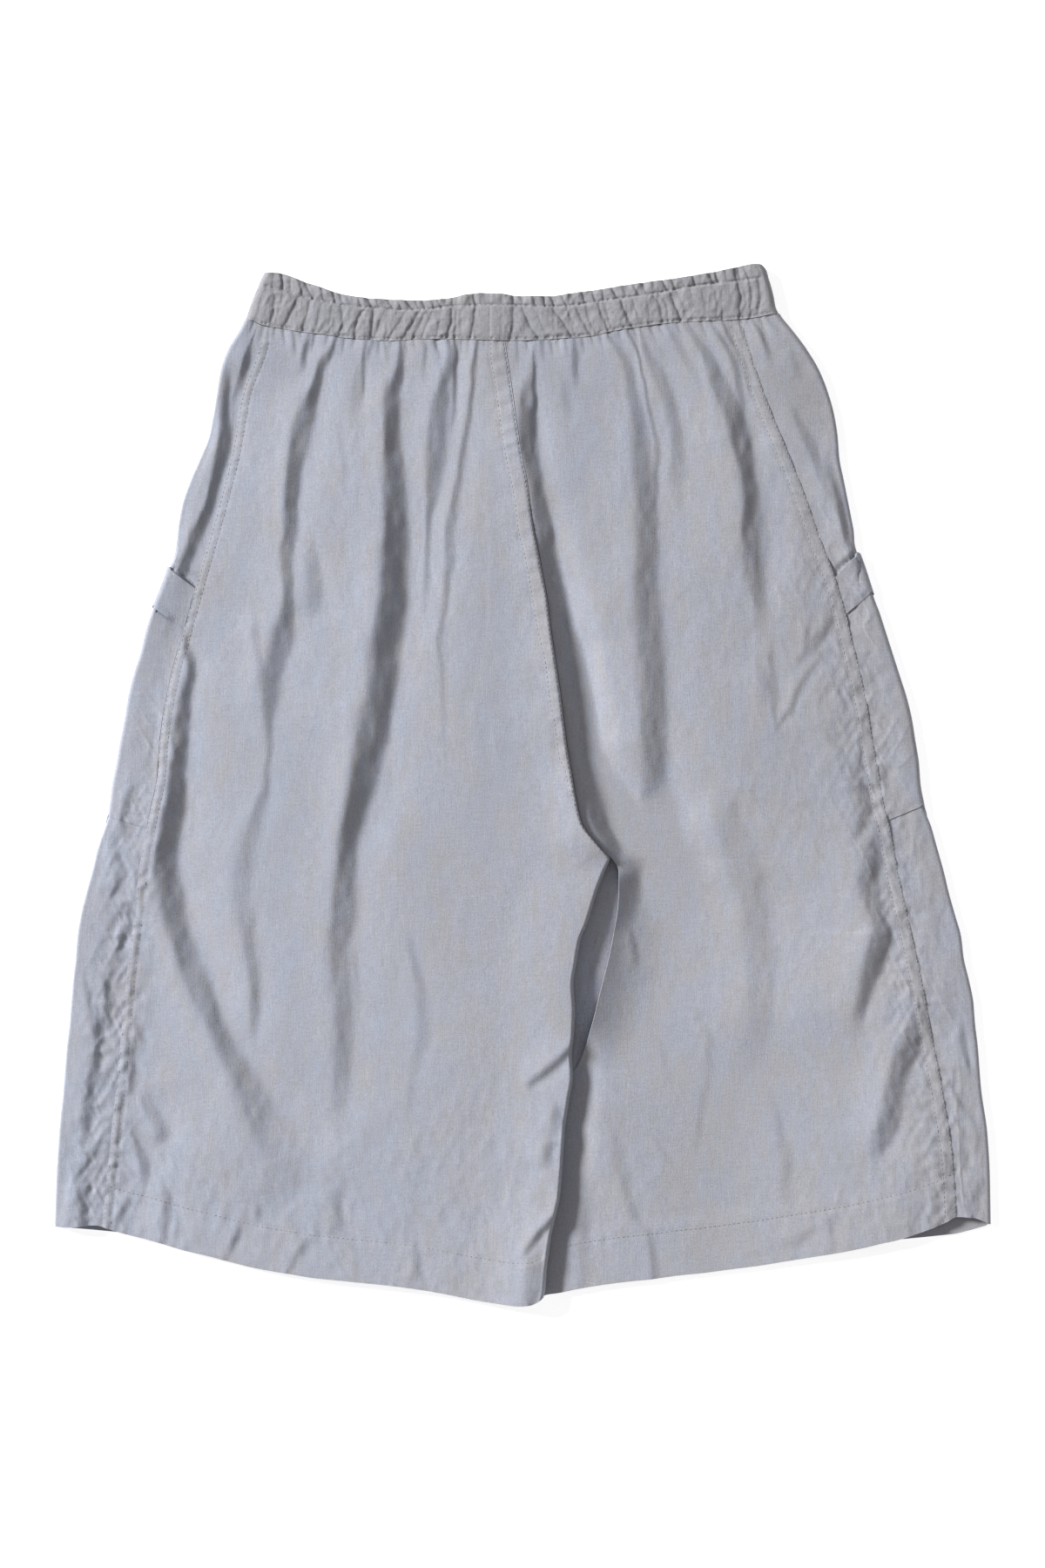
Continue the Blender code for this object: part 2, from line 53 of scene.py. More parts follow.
CLOTH = 0.7  # thickness of a shown cloth
HEM_CLOTH = 0.7  # what the turned-up hem adds to it
LIFT = 0.9  # a cloth lying on another: its thickness and a little air
EDGE_HEIGHT = 5.6  # height of the upper layer at the outline
PLATEAU = 9.2  # its height over the hollow
BAND_CREST = PLATEAU + 0.3  # height of the waistband
STEEPNESS = 0.80  # all steps' slopes are taken by this share
SOFT_STEPS = ("cl", "cr", "d1", "d2", "d3", "d4", "d6", "d7")  # how the names of the weaker steps begin
SOFT_SHARE = 0.66
FOLD_REACH = {"left": 3.2, "right": 5.0}  # how far in from the outline the outer folds begin to turn
HEM_DEPTH = {"left": 49.0, "right": 52.0}
LEG_FLOOR = 2.2  # height that the left leg's cloth comes down to, and the right one's under it
RIM_FLOOR = 1.9  # least height of the right back panel
CROTCH_V = 985.0
GAP_END_V = 1262  # where the opening between the legs is closed again, and the left leg laps the right one
RIM_GAP = 0.6  # from the left panel's inner edge to the right one's
SEAM_GAP = 0.2  # from a side seam's line to the panel's edge
FRONT_GAP = 0.25  # from a front seam's line to either panel's edge
HALF_SLIT = 0.012  # from the front panels' shared line to either one's inner edge
TOP_GAP = 0.4  # from the waistband's foot to the panels' edges
STRIPS = {"left": (1.0, 9.5), "right": (1.0, 14.0)}  # from a side seam's line to the dents of its stitches,
STRIP_THREADS = {"left": (1.6, 9.4), "right": (-1.6, -13.6)}  # and to their threads
FOOT_STITCH = 2.6  # from the waistband's foot up to its lower row of stitches
BAND_SEAM_U, BAND_FLAT_U = 562, 837  # where the waistband is joined, and where it lies flat

# Counts of rows and columns of the pieces' grids, and where columns crowd. A piece has an odd number of rows
# and of columns, but for the waistband, whose columns run all round it.
PANEL_ROWS = 373
PANEL_COLUMNS = 201
RIM_TURNS = np.linspace(0, np.pi / 2, 11)  # closer columns where the cloth turns at an inner edge,
RIM_SHARE = 0.015  # in this share of the panel's width
RIM_COLUMNS = np.array([0, 0.2, 0.45, 0.75, 1.05, 1.3, 1.5, 1.58, 1.64, 2.3, 3.4])  # the right rim's own
POCKET_ROWS = 201
MOUTH_ROWS = 25
FRONT_ROWS, FRONT_COLUMNS = 161, 61
BAND_ROWS = 61
STITCH_ROW = 20  # rows of the waistband above its upper row of stitches
BAND_RADIUS = 8.4  # of the waistband's folds at its two ends, in squares
BAND_UPPER, BAND_TURN, BAND_UNDER = 560, 20, 216  # its columns above, round either fold, and below
RUN_POINTS = 700  # along a run of stitches
UNDERLAP = (-1.0, -0.5)  # further columns of a side panel, under the back panel's edge
FOLD_COLUMNS = np.linspace(0, 1, 13)[1:]
SIDE_COLUMNS = np.concatenate([np.linspace(0, 1, 33), 1 + FOLD_COLUMNS, 2 + FOLD_COLUMNS])

KEY_POWER = 1380.0
KEY_ELEVATION, KEY_SWING = 29, 26  # in degrees; the swing is from the left towards the waistband
KEY_DISTANCE, KEY_SIZE = 9.0, 2.2  # in metres, as are the lengths below but for the sensor's
FILL = 0.345
FLOOR_GLOW = 0.66
FLOOR_HALF, FLOOR_HEIGHT = 6, -0.0004
SENSOR = 36.0
CAMERA_HEIGHT, CAMERA_RANGE = 2.206, 2.2  # the range is to the cloth's level
PLAN_HEIGHT = 1800 * SQUARE * 0.001

# A linear colour for each end of the yarns' mix, and for the thread's shade and light.
LINEN = {
    "pale": (0.345, 0.365, 0.430),
    "warm": (0.358, 0.352, 0.372),
    "band_pale": (0.312, 0.317, 0.347),
    "band_warm": (0.314, 0.308, 0.320),
    "thread": (0.310, 0.312, 0.345),
    "thread_dark": (0.200, 0.200, 0.225),
}

# ---------------------------------------------------------------------------------------------------------
# Outline and seams: rows of (v, left edge, right edge), and lines of (v, u).

OUTLINE = (
    (300, 306, 872), (312, 303, 880), (324, 297, 884), (340, 290, 888), (350, 286, 890), (364, 281, 898),
    (375, 276, 907), (400, 261, 926), (425, 252, 941), (450, 248, 951), (475, 244, 958), (500, 239, 962),
    (525, 229, 964), (550, 218, 969), (575, 209, 974), (600, 204, 979), (625, 201, 984), (650, 192, 993),
    (675, 183, 1001), (700, 173, 1009), (725, 166, 1017), (750, 160, 1025), (775, 152, 1033),
    (800, 146, 1041), (825, 142, 1047), (850, 137, 1051), (875, 133, 1055), (900, 128, 1057),
    (925, 125, 1062), (950, 119, 1070), (975, 111, 1077), (1000, 105, 1084), (1025, 98, 1090),
    (1050, 92, 1097), (1075, 88, 1104), (1100, 86, 1107), (1125, 83, 1113), (1150, 81, 1118),
    (1175, 79, 1120), (1200, 76, 1123), (1250, 72, 1127), (1300, 67, 1134), (1350, 64, 1137),
    (1410, 62, 1138),
)
LEFT_SEAM = (
    (350, 303), (372, 300), (395, 298), (420, 290), (450, 278), (480, 272), (520, 265), (580, 250),
    (630, 236), (680, 222), (720, 211), (774, 196), (822, 187), (854, 183), (895, 180), (929, 173),
    (960, 167), (1000, 160), (1042, 155), (1100, 148), (1150, 142), (1200, 138), (1250, 133), (1300, 128),
    (1360, 122), (1410, 117),
)
RIGHT_SEAM = (
    (350, 847), (368, 850.5), (397, 858.5), (429, 869), (472, 885), (518, 904), (558, 920), (595, 933.5),
    (633, 947), (654, 955.5), (689, 967), (735, 978.5), (769, 987), (812, 996), (847, 1001.5),
    (893, 1010), (927, 1016), (964, 1024.5), (1010, 1033), (1050, 1042), (1111, 1055.5), (1183, 1069),
    (1238, 1080), (1287, 1088), (1331, 1094), (1377, 1097), (1420, 1099),
)
CENTRE_SEAM = (
    (337, 563), (390, 562.5), (407, 562.5), (437, 567), (480, 573), (525, 580), (569, 589), (613, 595),
    (640, 602), (680, 609), (726, 617), (760, 625), (801, 630), (833, 636), (868, 641), (886, 648),
    (908, 653), (932, 662),
)
# The left back panel's inner edge: the felled centre seam down to the crotch, then the leg's inner edge.
LEFT_INNER_ABOVE = (
    (340, 575), (388, 579), (437, 586), (480, 592), (525, 599), (554, 605), (598, 611), (642, 619.5),
    (688, 628), (728, 633), (760, 638), (790, 642.5), (822, 646.5), (854, 650.5), (886, 656), (916, 661),
    (945, 668), (967, 684), (985, 700),
)
LEFT_INNER_BELOW = (
    (985, 700), (1000, 694), (1020, 686.5), (1060, 674), (1077, 667), (1102, 662.5), (1130, 658.5),
    (1158, 660), (1186, 659), (1211, 656.5), (1234, 657.5), (1262, 653.5), (1298, 648.5), (1335, 646),
    (1371, 643), (1397, 637.5), (1422, 632), (1453, 628), (1481, 625.5), (1500, 620),
)
# The right back panel's inner edge: the same seam, then its rim and its hidden edge under the left leg.
RIGHT_INNER_BELOW = (
    (985, 702), (1000, 708), (1020, 708), (1040, 707), (1060, 704), (1100, 696), (1140, 686),
    (1180, 676), (1217, 664), (1240, 652), (1270, 641), (1310, 636), (1360, 632), (1420, 620), (1500, 608),
)

# The waistband's top edge, its upper row of stitches and its foot, and the hems, as lines of (u, v).
BAND_TOP = (
    (296, 316), (305, 313), (320, 313.5), (333, 317), (345, 322), (360, 327), (390, 337), (420, 342),
    (450, 344), (480, 345), (510, 343), (540, 337.5), (555, 336.5), (570, 337), (600, 340), (630, 340),
    (660, 336), (690, 332), (720, 327), (750, 323), (780, 319), (810, 314), (840, 308), (862, 303.5),
    (872, 303), (882, 308),
)
BAND_STITCH = (
    (290, 326), (298, 327), (320, 332), (345, 340), (370, 345.5), (400, 351), (430, 353.5), (460, 356),
    (490, 355), (520, 351.5), (560, 350), (600, 350.5), (630, 352), (650, 351), (700, 344), (750, 337),
    (800, 328), (850, 322), (880, 317.5), (890, 317),
)
BAND_FOOT = (
    (278, 363), (286, 366), (300, 373), (330, 378.5), (350, 382), (370, 384), (395, 388), (420, 390),
    (450, 391.5), (480, 389.5), (510, 389.5), (540, 390), (570, 391), (600, 391), (650, 388.5), (680, 386),
    (700, 381), (730, 376), (760, 372), (800, 369), (830, 368), (860, 365.5), (890, 360), (900, 358),
)
UPPER_HEM = (
    (56, 1406), (75, 1407.5), (90, 1407), (109, 1405.5), (125, 1410), (144, 1416), (165, 1421), (180, 1425),
    (210, 1434), (240, 1441), (270, 1449), (300, 1456), (330, 1461), (360, 1466), (390, 1469), (420, 1472),
    (450, 1475), (480, 1479), (510, 1484), (540, 1490), (570, 1494.5), (595, 1497), (609, 1496),
    (617, 1492.5), (626, 1487), (640, 1484.5), (660, 1480), (690, 1475), (720, 1471), (750, 1468),
    (780, 1464), (810, 1461), (840, 1457), (870, 1453), (900, 1448), (930, 1443), (960, 1438), (990, 1432),
    (1010, 1427), (1028, 1423), (1055, 1414.5), (1083, 1404), (1099, 1396.5), (1118, 1398), (1132, 1403),
    (1142, 1407),
)
LOWER_HEM = (
    (56, 1407), (75, 1410), (105, 1412), (144, 1416), (200, 1428), (330, 1455), (450, 1470), (570, 1487),
    (640, 1480), (750, 1463), (870, 1448), (1000, 1427), (1042, 1422.5), (1069, 1420), (1097, 1417),
    (1124, 1410.5), (1142, 1404),
)

# Folds of the side panels that end at the pockets' mouths, and the dip just above each mouth.
MOUTH_STEPS = (
    ((222, 622, 8, 0), (215, 636, 12, .35), (211, 648, 12, .55), (209, 658, 11, .7), (208, 668, 9, .4),
        (208, 680, 6, 0)),
    ((990, 615, 5, 0), (985, 630, 7, .35), (977, 645, 8, .35), (968, 656, 6, 0)),
)
MOUTH_DIPS = (
    ((188, 644, 5, 2.4), (196, 650, 5, 2.6), (205, 656, 5, 2.6), (213, 663, 5, 2.2), (219, 668, 4, .8),
        (226, 673, 3, 0)),
    ((995, 627, 4, 1.6), (984, 635, 5, 2.2), (972, 645, 5, 2.0), (961, 654, 4, 1.2), (955, 659, 3, .3)),
)

# The shadow lines under the foot of each mouth band.
BAND_SINKS = (
    ((226, 722, 2.5, .2), (214, 716, 2.5, 1.6), (200, 708, 2.5, 2.6), (186, 700, 2.5, 2.6),
        (170, 691, 2.5, 2.6)),
    ((1010, 675, 3, .3), (1000, 682, 3, .3), (987, 692, 3, .3), (978, 699, 3, .2), (968, 707, 3, .1)),
)

# Pockets: v of the mouth, of the band's foot, and of the base, at the back seam, outer edge and front seam.
POCKET_TURNS = (0, 1.2, 3)
POCKETS = {
    "left": {"mouth": (675, 650, 663), "band": (721, 695, 708), "base": (950, 935, 984)},
    "right": {"mouth": (662, 634, 654), "band": (704, 679, 698), "base": (941, 923, 977)},
}

# ---------------------------------------------------------------------------------------------------------
# Creases. A step drops to the right of its route as one walks down it. Columns: u, v, width and slope.
STEPS = {
    # Left leg, from the waistband down.
    "hip_left": ((252, 412, 6, .1), (257, 440, 14, .6), (258, 480, 16, .75), (256, 515, 15, .75),
        (250, 545, 12, .75), (240, 583, 11, .7), (228, 610, 12, .65), (218, 632, 13, .45),
        (211, 650, 12, 0)),
    "seam_tuck": ((289, 392, 4, .4), (284, 413, 8, .8), (275, 440, 7, .5), (268, 475, 5, .1)),
    "p1": ((335, 382, 3, .5), (336, 395, 4, .6), (338, 412, 4, 0)),
    "p2": ((353, 384, 4, .3), (351, 398, 8, .5), (350, 413, 9, .5), (346, 432, 8, 0)),
    "outer": ((386, 390, 4, .6), (377, 408, 6, .75), (369, 425, 8, .8), (365, 440, 9, .8),
        (356, 462, 16, .7), (348, 490, 18, .65), (342, 520, 18, .65), (337, 555, 17, .65),
        (334, 600, 15, .65), (331, 642, 14, .6), (332, 680, 12, .6), (330, 705, 17, .55),
        (323, 730, 22, .5), (318, 755, 20, .5), (314, 780, 22, .45), (311, 810, 18, .45),
        (310, 828, 11, .45), (310, 850, 8, .35), (307, 880, 5, .3), (303, 915, 8, .35), (294, 942, 12, .3),
        (285, 965, 16, .25), (279, 995, 19, .22), (276, 1040, 16, .15), (274, 1075, 12, 0)),
    "outer_patch": ((352, 610, 10, 0), (358, 650, 17, .3), (359, 690, 20, .33), (355, 712, 14, 0)),
    "outer_faint": ((293, 700, 6, 0), (297, 735, 8, .25), (302, 768, 8, .2), (303, 800, 6, 0)),
    "p3": ((420, 392, 3, .5), (417, 410, 4, .55), (416, 440, 4, .4), (415, 470, 3, 0)),
    "p3_faint": ((412, 410, 8, 0), (409, 440, 13, .22), (406, 470, 12, .15), (402, 500, 8, 0)),
    "curl": ((386, 480, 4, 0), (391, 510, 5, .18), (397, 545, 5, .15), (398, 575, 4, 0)),
    "p4": ((428, 391, 3, .5), (424, 404, 5, .4), (420, 418, 4, 0)),
    "p4b": ((442, 392, 3, .4), (444, 404, 4, .3), (443, 418, 4, 0)),
    "middle": ((459, 393, 3, .6), (459, 408, 7, .6), (457, 428, 11, .65), (451, 450, 15, .7),
        (451, 478, 21, .7), (451, 510, 22, .72), (452, 550, 24, .74), (453, 590, 27, .74),
        (453, 640, 28, .75), (451, 680, 29, .75), (447, 715, 29, .75), (441, 745, 29, .75),
        (437, 780, 30, .72), (432, 820, 32, .7), (425, 860, 32, .7), (417, 900, 30, .7),
        (408, 930, 26, .68), (402, 956, 22, .66), (399, 985, 21, .6), (397, 1015, 23, .5),
        (394, 1050, 24, .45), (389, 1087, 23, .4), (390, 1115, 21, .4), (395, 1140, 19, .38),
        (396, 1170, 20, .36), (395, 1200, 20, .33), (393, 1230, 18, .28), (390, 1265, 15, .2),
        (388, 1310, 12, 0)),
    "middle_side": ((404, 1085, 4, 0), (407, 1105, 5, .3), (411, 1135, 5, .25), (410, 1160, 4, 0)),
    "inner": ((513, 391, 4, .6), (516, 404, 6, .6), (513, 425, 10, .6), (508, 446, 13, .55),
        (503, 472, 20, .5), (502, 500, 22, .5), (499, 530, 22, .5), (496, 556, 18, .48),
        (493, 585, 12, .45), (491, 620, 9, .4), (489, 655, 9, .35), (488, 685, 6, .25), (486, 710, 4, 0)),
    "inner_line": ((520, 392, 3, .8), (521, 405, 4, .9), (520, 440, 4, .8), (518, 478, 4, .4),
        (516, 500, 3, 0)),
    "inner_second": ((547, 391, 4, .6), (543, 420, 5, .6), (539, 460, 6, .5), (535, 495, 7, .45),
        (529, 540, 9, .42), (521, 583, 10, .42), (516, 625, 9, .42), (513, 668, 9, .4), (509, 700, 8, .35),
        (507, 740, 7, .3), (507, 790, 7, .2), (508, 840, 6, .12), (509, 880, 5, 0)),
    "p5": ((484, 390, 4, .4), (489, 401, 4, .4), (487, 422, 5, .25), (485, 440, 4, 0)),
    "p6": ((497, 390, 4, .4), (503, 405, 4, .3), (505, 420, 3, 0)),
    "low_left": ((211, 722, 4, 0), (215, 740, 6, .5), (219, 764, 10, .75), (216, 779, 10, .8),
        (211, 801, 12, .8), (208, 828, 15, .8), (207, 854, 15, .8), (205, 881, 16, .8), (202, 908, 19, .78),
        (198, 935, 21, .75), (194, 961, 21, .72), (190, 983, 23, .7), (191, 1005, 25, .62),
        (196, 1025, 26, .6), (202, 1050, 25, .62), (211, 1081, 26, .62), (221, 1113, 26, .6),
        (234, 1142, 24, .62), (246, 1172, 21, .58), (261, 1202, 22, .52), (277, 1232, 25, .46),
        (291, 1263, 34, .38), (310, 1296, 44, .28), (336, 1324, 48, .2), (360, 1350, 40, 0)),
    "low_second": ((280, 1035, 12, 0), (283, 1060, 15, .3), (286, 1090, 15, .33), (291, 1116, 14, .38),
        (292, 1142, 13, .42), (291, 1170, 10, .3), (288, 1200, 8, 0)),
    "seat_faint": ((467, 1060, 6, 0), (474, 1090, 8, .2), (481, 1120, 9, .25), (486, 1160, 11, .2),
        (485, 1190, 11, .2), (476, 1218, 10, .1), (470, 1250, 8, .1), (468, 1300, 6, 0)),
    "hem_patch": ((380, 1355, 8, 0), (385, 1376, 14, .25), (389, 1400, 14, .25), (388, 1425, 10, 0)),
    "knee_crease": ((661, 1196, 5, .3), (652, 1205, 8, .75), (634, 1221, 9, .75), (613, 1240, 9, .6),
        (604, 1250, 8, 0)),
    "knee_soft": ((644, 1262, 8, 0), (638, 1280, 12, .3), (636, 1298, 12, .25), (628, 1322, 12, .4),
        (628, 1342, 9, 0)),
    "inner_crease": ((640, 1390, 5, .5), (634, 1397, 6, .85), (616, 1419, 7, .85), (604, 1437, 7, .5),
        (598, 1445, 5, 0)),
    "tip_soft": ((622, 1422, 8, 0), (615, 1445, 16, .3), (612, 1470, 18, .35), (608, 1495, 16, .3)),
    # Crumples beside the left side seam.
    "cl1": ((174, 848, 4, .2), (172, 860, 5, .5), (169, 874, 4, 0)),
    "cl2": ((155, 892, 4, 0), (151, 908, 7, .6), (147, 924, 9, .75), (142, 943, 8, .7), (140, 965, 5, 0)),
    "cl3": ((128, 952, 4, 0), (133, 970, 7, .55), (138, 990, 7, .5), (140, 1003, 4, 0)),
    "cl4": ((149, 1004, 4, 0), (140, 1013, 6, .5), (130, 1021, 7, .6), (125, 1036, 5, 0)),
    "cl5": ((144, 1062, 4, 0), (139, 1080, 6, .5), (136, 1100, 5, 0)),
    "cl6": ((97, 1103, 4, 0), (101, 1135, 6, .4), (107, 1160, 12, .5), (113, 1185, 12, .6),
        (121, 1205, 6, 0)),
    "cl7": ((117, 1112, 4, 0), (123, 1130, 8, .6), (126, 1148, 9, .7), (121, 1168, 8, .5),
        (119, 1182, 5, 0)),
    "cl8": ((112, 1190, 8, .2), (110, 1218, 12, .65), (103, 1245, 12, .6), (99, 1275, 11, .6),
        (96, 1305, 8, .5), (93, 1330, 5, 0)),
    "cl9": ((117, 1308, 4, .2), (108, 1328, 6, .65), (96, 1341, 6, .7), (81, 1352, 4, 0)),
    "cl10": ((100, 1345, 8, .2), (98, 1368, 13, .55), (96, 1392, 13, .6), (95, 1410, 12, .5)),
    "cr1": ((148, 1150, 3, 0), (154, 1166, 5, .5), (161, 1182, 6, .55), (171, 1200, 4, 0)),
    "cr2": ((162, 1183, 4, .2), (153, 1200, 9, .6), (149, 1225, 11, .65), (151, 1248, 8, .5),
        (155, 1262, 5, 0)),
    "cr3": ((158, 1250, 8, 0), (169, 1268, 17, .4), (181, 1286, 19, .5), (186, 1300, 16, .6),
        (184, 1322, 10, 0)),
    "cr4": ((150, 1296, 4, .2), (158, 1318, 9, .65), (169, 1338, 11, .75), (168, 1356, 7, .3),
        (166, 1366, 4, 0)),
    "cr5": ((131, 1325, 3, 0), (142, 1337, 5, .6), (152, 1350, 4, 0)),
    "cr6": ((183, 1345, 5, .2), (189, 1368, 8, .6), (191, 1393, 9, .65), (186, 1422, 8, .4)),
    "cr7": ((153, 1370, 4, 0), (143, 1388, 8, .55), (133, 1408, 7, .3)),
    "hem1": ((277, 1400, 5, .1), (269, 1418, 9, .5), (260, 1438, 7, .2)),
    "hem2": ((361, 1415, 4, 0), (350, 1430, 9, .4), (336, 1450, 8, .2)),
    "hem3": ((300, 1378, 4, 0), (298, 1392, 6, .35), (296, 1406, 4, 0)),
    "hem4": ((476, 1425, 6, 0), (480, 1450, 11, .22), (485, 1478, 8, .1)),
    "hem5": ((205, 1388, 4, 0), (203, 1405, 6, .35), (200, 1425, 5, .1)),
    # Right leg.
    "centre": ((616, 404, 3, 0), (611, 430, 8, .25), (606, 450, 15, .45), (604, 478, 18, .62),
        (605, 500, 18, .7), (609, 530, 16, .85), (613, 555, 16, .85), (619, 585, 19, .85),
        (625, 613, 19, .85), (630, 640, 19, .85), (634, 668, 18, .85), (639, 700, 17, .9),
        (643, 726, 19, .95), (650, 755, 24, .95), (655, 785, 24, .95), (660, 811, 26, .95),
        (664, 838, 25, .95), (667, 862, 22, .95), (673, 889, 25, .95), (680, 913, 27, .95),
        (688, 938, 27, .95), (698, 958, 22, .9), (706, 972, 16, .7), (712, 985, 12, 0)),
    "centre_line": ((614, 400, 3, .3), (614, 420, 4, .7), (613, 451, 4, .8), (612, 485, 4, .8),
        (611, 512, 4, .3)),
    "centre_fade": ((674, 842, 6, 0), (686, 868, 14, .35), (696, 895, 18, .35), (708, 925, 26, .3),
        (722, 955, 30, .2), (734, 985, 34, 0)),
    "q1": ((622, 391, 4, .5), (624, 405, 5, .3), (626, 416, 4, 0)),
    "q2": ((658, 388, 4, .4), (658, 405, 6, .6), (659, 422, 6, .5), (661, 447, 5, 0)),
    "q2b": ((645, 432, 6, 0), (648, 460, 9, .22), (652, 490, 8, 0)),
    "q3": ((649, 390, 3, .5), (651, 402, 3, .4), (652, 412, 3, 0)),
    "right_inner": ((697, 386, 5, .5), (705, 397, 7, .5), (714, 412, 9, .42), (722, 434, 12, .38),
        (728, 458, 15, .4), (732, 480, 18, .42), (734, 505, 20, .44), (737, 532, 22, .46),
        (740, 560, 25, .48), (742, 590, 25, .48), (743, 630, 27, .46), (741, 670, 30, .44),
        (743, 705, 33, .42), (747, 745, 34, .42), (750, 785, 33, .42), (751, 830, 32, .42),
        (751, 880, 32, .42), (753, 920, 33, .4), (759, 950, 33, .32), (770, 985, 30, .2),
        (780, 1020, 26, 0)),
    "ridge_line": ((719, 384, 4, .6), (725, 396, 4, .7), (734, 414, 4, .6), (741, 440, 4, .55),
        (747, 472, 5, .5), (751, 500, 5, .45), (753, 525, 6, .4), (754, 555, 6, .35), (753, 585, 5, 0)),
    "right_second": ((735, 384, 5, .3), (746, 410, 9, .35), (757, 434, 13, .36), (767, 464, 16, .34),
        (774, 498, 17, .3), (777, 530, 16, .25), (778, 560, 12, .12), (778, 590, 9, 0)),
    "q4": ((764, 376, 4, .3), (777, 392, 8, .28), (791, 416, 10, .24), (803, 442, 8, .15),
        (808, 470, 6, 0)),
    "right_outer": ((791, 378, 4, .5), (800, 390, 7, .5), (811, 408, 12, .5), (821, 430, 16, .52),
        (831, 452, 19, .55), (841, 474, 22, .62), (848, 496, 23, .7), (853, 520, 20, .72),
        (859, 545, 20, .72), (863, 575, 21, .66), (863, 605, 25, .58), (864, 635, 25, .52),
        (868, 663, 22, .45), (874, 690, 17, .3), (884, 712, 12, 0)),
    "q5": ((816, 372, 4, .5), (829, 390, 6, .5), (840, 411, 8, .5), (846, 436, 8, .45), (851, 458, 7, .3),
        (856, 490, 5, 0)),
    "q6": ((829, 370, 4, .5), (841, 392, 5, .45), (851, 414, 6, .4), (859, 440, 6, .35), (864, 458, 5, 0)),
    "q7": ((860, 364, 4, .5), (867, 374, 6, .6), (875, 389, 7, .6), (884, 408, 6, .3), (890, 424, 5, 0)),
    "q8": ((880, 362, 4, .5), (888, 372, 5, .4), (898, 388, 6, 0)),
    "side_r1": ((905, 460, 6, 0), (912, 478, 9, .3), (926, 506, 11, .36), (938, 533, 11, .36),
        (950, 558, 10, .34), (961, 582, 8, 0)),
    "side_r2": ((909, 400, 8, 0), (914, 418, 10, .2), (920, 440, 8, 0)),
    "edge_r": ((948, 520, 6, 0), (955, 545, 11, .6), (965, 572, 13, .8), (972, 600, 12, .85),
        (979, 636, 9, .8)),
    # Crumples on the right leg.
    "d1": ((957, 700, 6, .3), (949, 721, 11, .5), (934, 738, 12, .5), (919, 754, 9, .35), (908, 770, 6, 0)),
    "d2": ((947, 742, 4, 0), (936, 762, 6, .45), (922, 783, 7, .5), (910, 808, 7, .5), (899, 826, 6, .45),
        (889, 843, 5, 0)),
    "d3": ((893, 728, 5, 0), (885, 760, 9, .35), (886, 790, 10, .4), (889, 822, 7, .35), (891, 845, 4, 0)),
    "d4": ((868, 755, 8, 0), (873, 775, 13, .35), (876, 800, 10, .25), (874, 820, 7, 0)),
    "d5": ((928, 712, 4, 0), (926, 728, 6, .35), (922, 744, 4, 0)),
    "d6": ((945, 838, 5, 0), (955, 856, 10, .35), (968, 868, 10, .35), (978, 880, 6, 0)),
    "d7": ((986, 878, 8, .3), (982, 902, 13, .5), (990, 922, 14, .55), (988, 950, 12, .45),
        (976, 972, 8, 0)),
    "broad": ((830, 905, 20, 0), (834, 940, 32, .2), (846, 980, 36, .22), (860, 1015, 38, .2),
        (868, 1060, 36, .18), (873, 1110, 30, .18), (872, 1160, 26, .18), (864, 1210, 24, .14),
        (862, 1250, 20, 0)),
    "d8": ((1005, 950, 14, 0), (1003, 985, 23, .4), (998, 1020, 24, .42), (1005, 1050, 22, .4),
        (1011, 1070, 26, .55), (1003, 1098, 25, .6), (993, 1134, 20, .5), (985, 1164, 15, .4),
        (980, 1192, 9, 0)),
    "d9": ((1052, 1160, 10, .2), (1049, 1185, 18, .55), (1039, 1212, 22, .6), (1029, 1248, 21, .6),
        (1023, 1280, 21, .6), (1010, 1310, 18, .55), (1000, 1335, 10, 0)),
    "d10": ((1030, 1150, 6, 0), (1020, 1168, 8, .25), (1007, 1188, 7, 0)),
    "streak": ((884, 1245, 6, 0), (889, 1280, 12, .25), (896, 1310, 13, .33), (902, 1345, 14, .38),
        (905, 1385, 10, .2), (906, 1405, 6, 0)),
    "e1": ((757, 1190, 4, 0), (763, 1222, 6, .28), (773, 1242, 5, 0)),
    "e2": ((815, 1195, 5, .1), (816, 1215, 8, .33), (808, 1258, 9, .35), (801, 1298, 9, .33),
        (793, 1326, 6, 0)),
    "e3": ((746, 1304, 4, 0), (756, 1318, 6, .35), (773, 1333, 6, .3), (788, 1342, 4, 0)),
    "e4": ((700, 1280, 5, 0), (706, 1312, 9, .3), (717, 1354, 10, .38), (731, 1396, 10, .38),
        (748, 1418, 8, .5), (752, 1440, 8, .75), (752, 1470, 8, .7)),
    "e5": ((806, 1310, 4, 0), (821, 1328, 6, .3), (834, 1343, 4, 0)),
    "e6": ((721, 1062, 5, 0), (725, 1085, 9, .3), (729, 1112, 8, 0)),
    "e7": ((794, 1172, 4, 0), (804, 1176, 6, .22), (818, 1190, 6, .22), (826, 1215, 4, 0)),
    "f1": ((949, 1392, 4, .2), (953, 1404, 5, .45), (958, 1428, 4, .3), (960, 1438, 3, 0)),
    "f2": ((938, 1410, 4, .1), (925, 1419, 9, .6), (908, 1427, 9, .5), (890, 1431, 6, 0)),
    "f3": ((895, 1434, 4, 0), (875, 1437, 7, .35), (852, 1438, 5, 0)),
    "f4": ((970, 1390, 4, 0), (980, 1405, 6, .25), (986, 1420, 4, 0)),
    "s1": ((1104, 1178, 4, .1), (1106, 1198, 8, .45), (1110, 1218, 9, .45), (1125, 1246, 6, 0)),
    "s2": ((1084, 1226, 4, 0), (1096, 1257, 6, .28), (1112, 1278, 6, .28), (1130, 1294, 4, 0)),
    "s3": ((1090, 1274, 4, 0), (1102, 1290, 7, .35), (1115, 1306, 5, 0)),
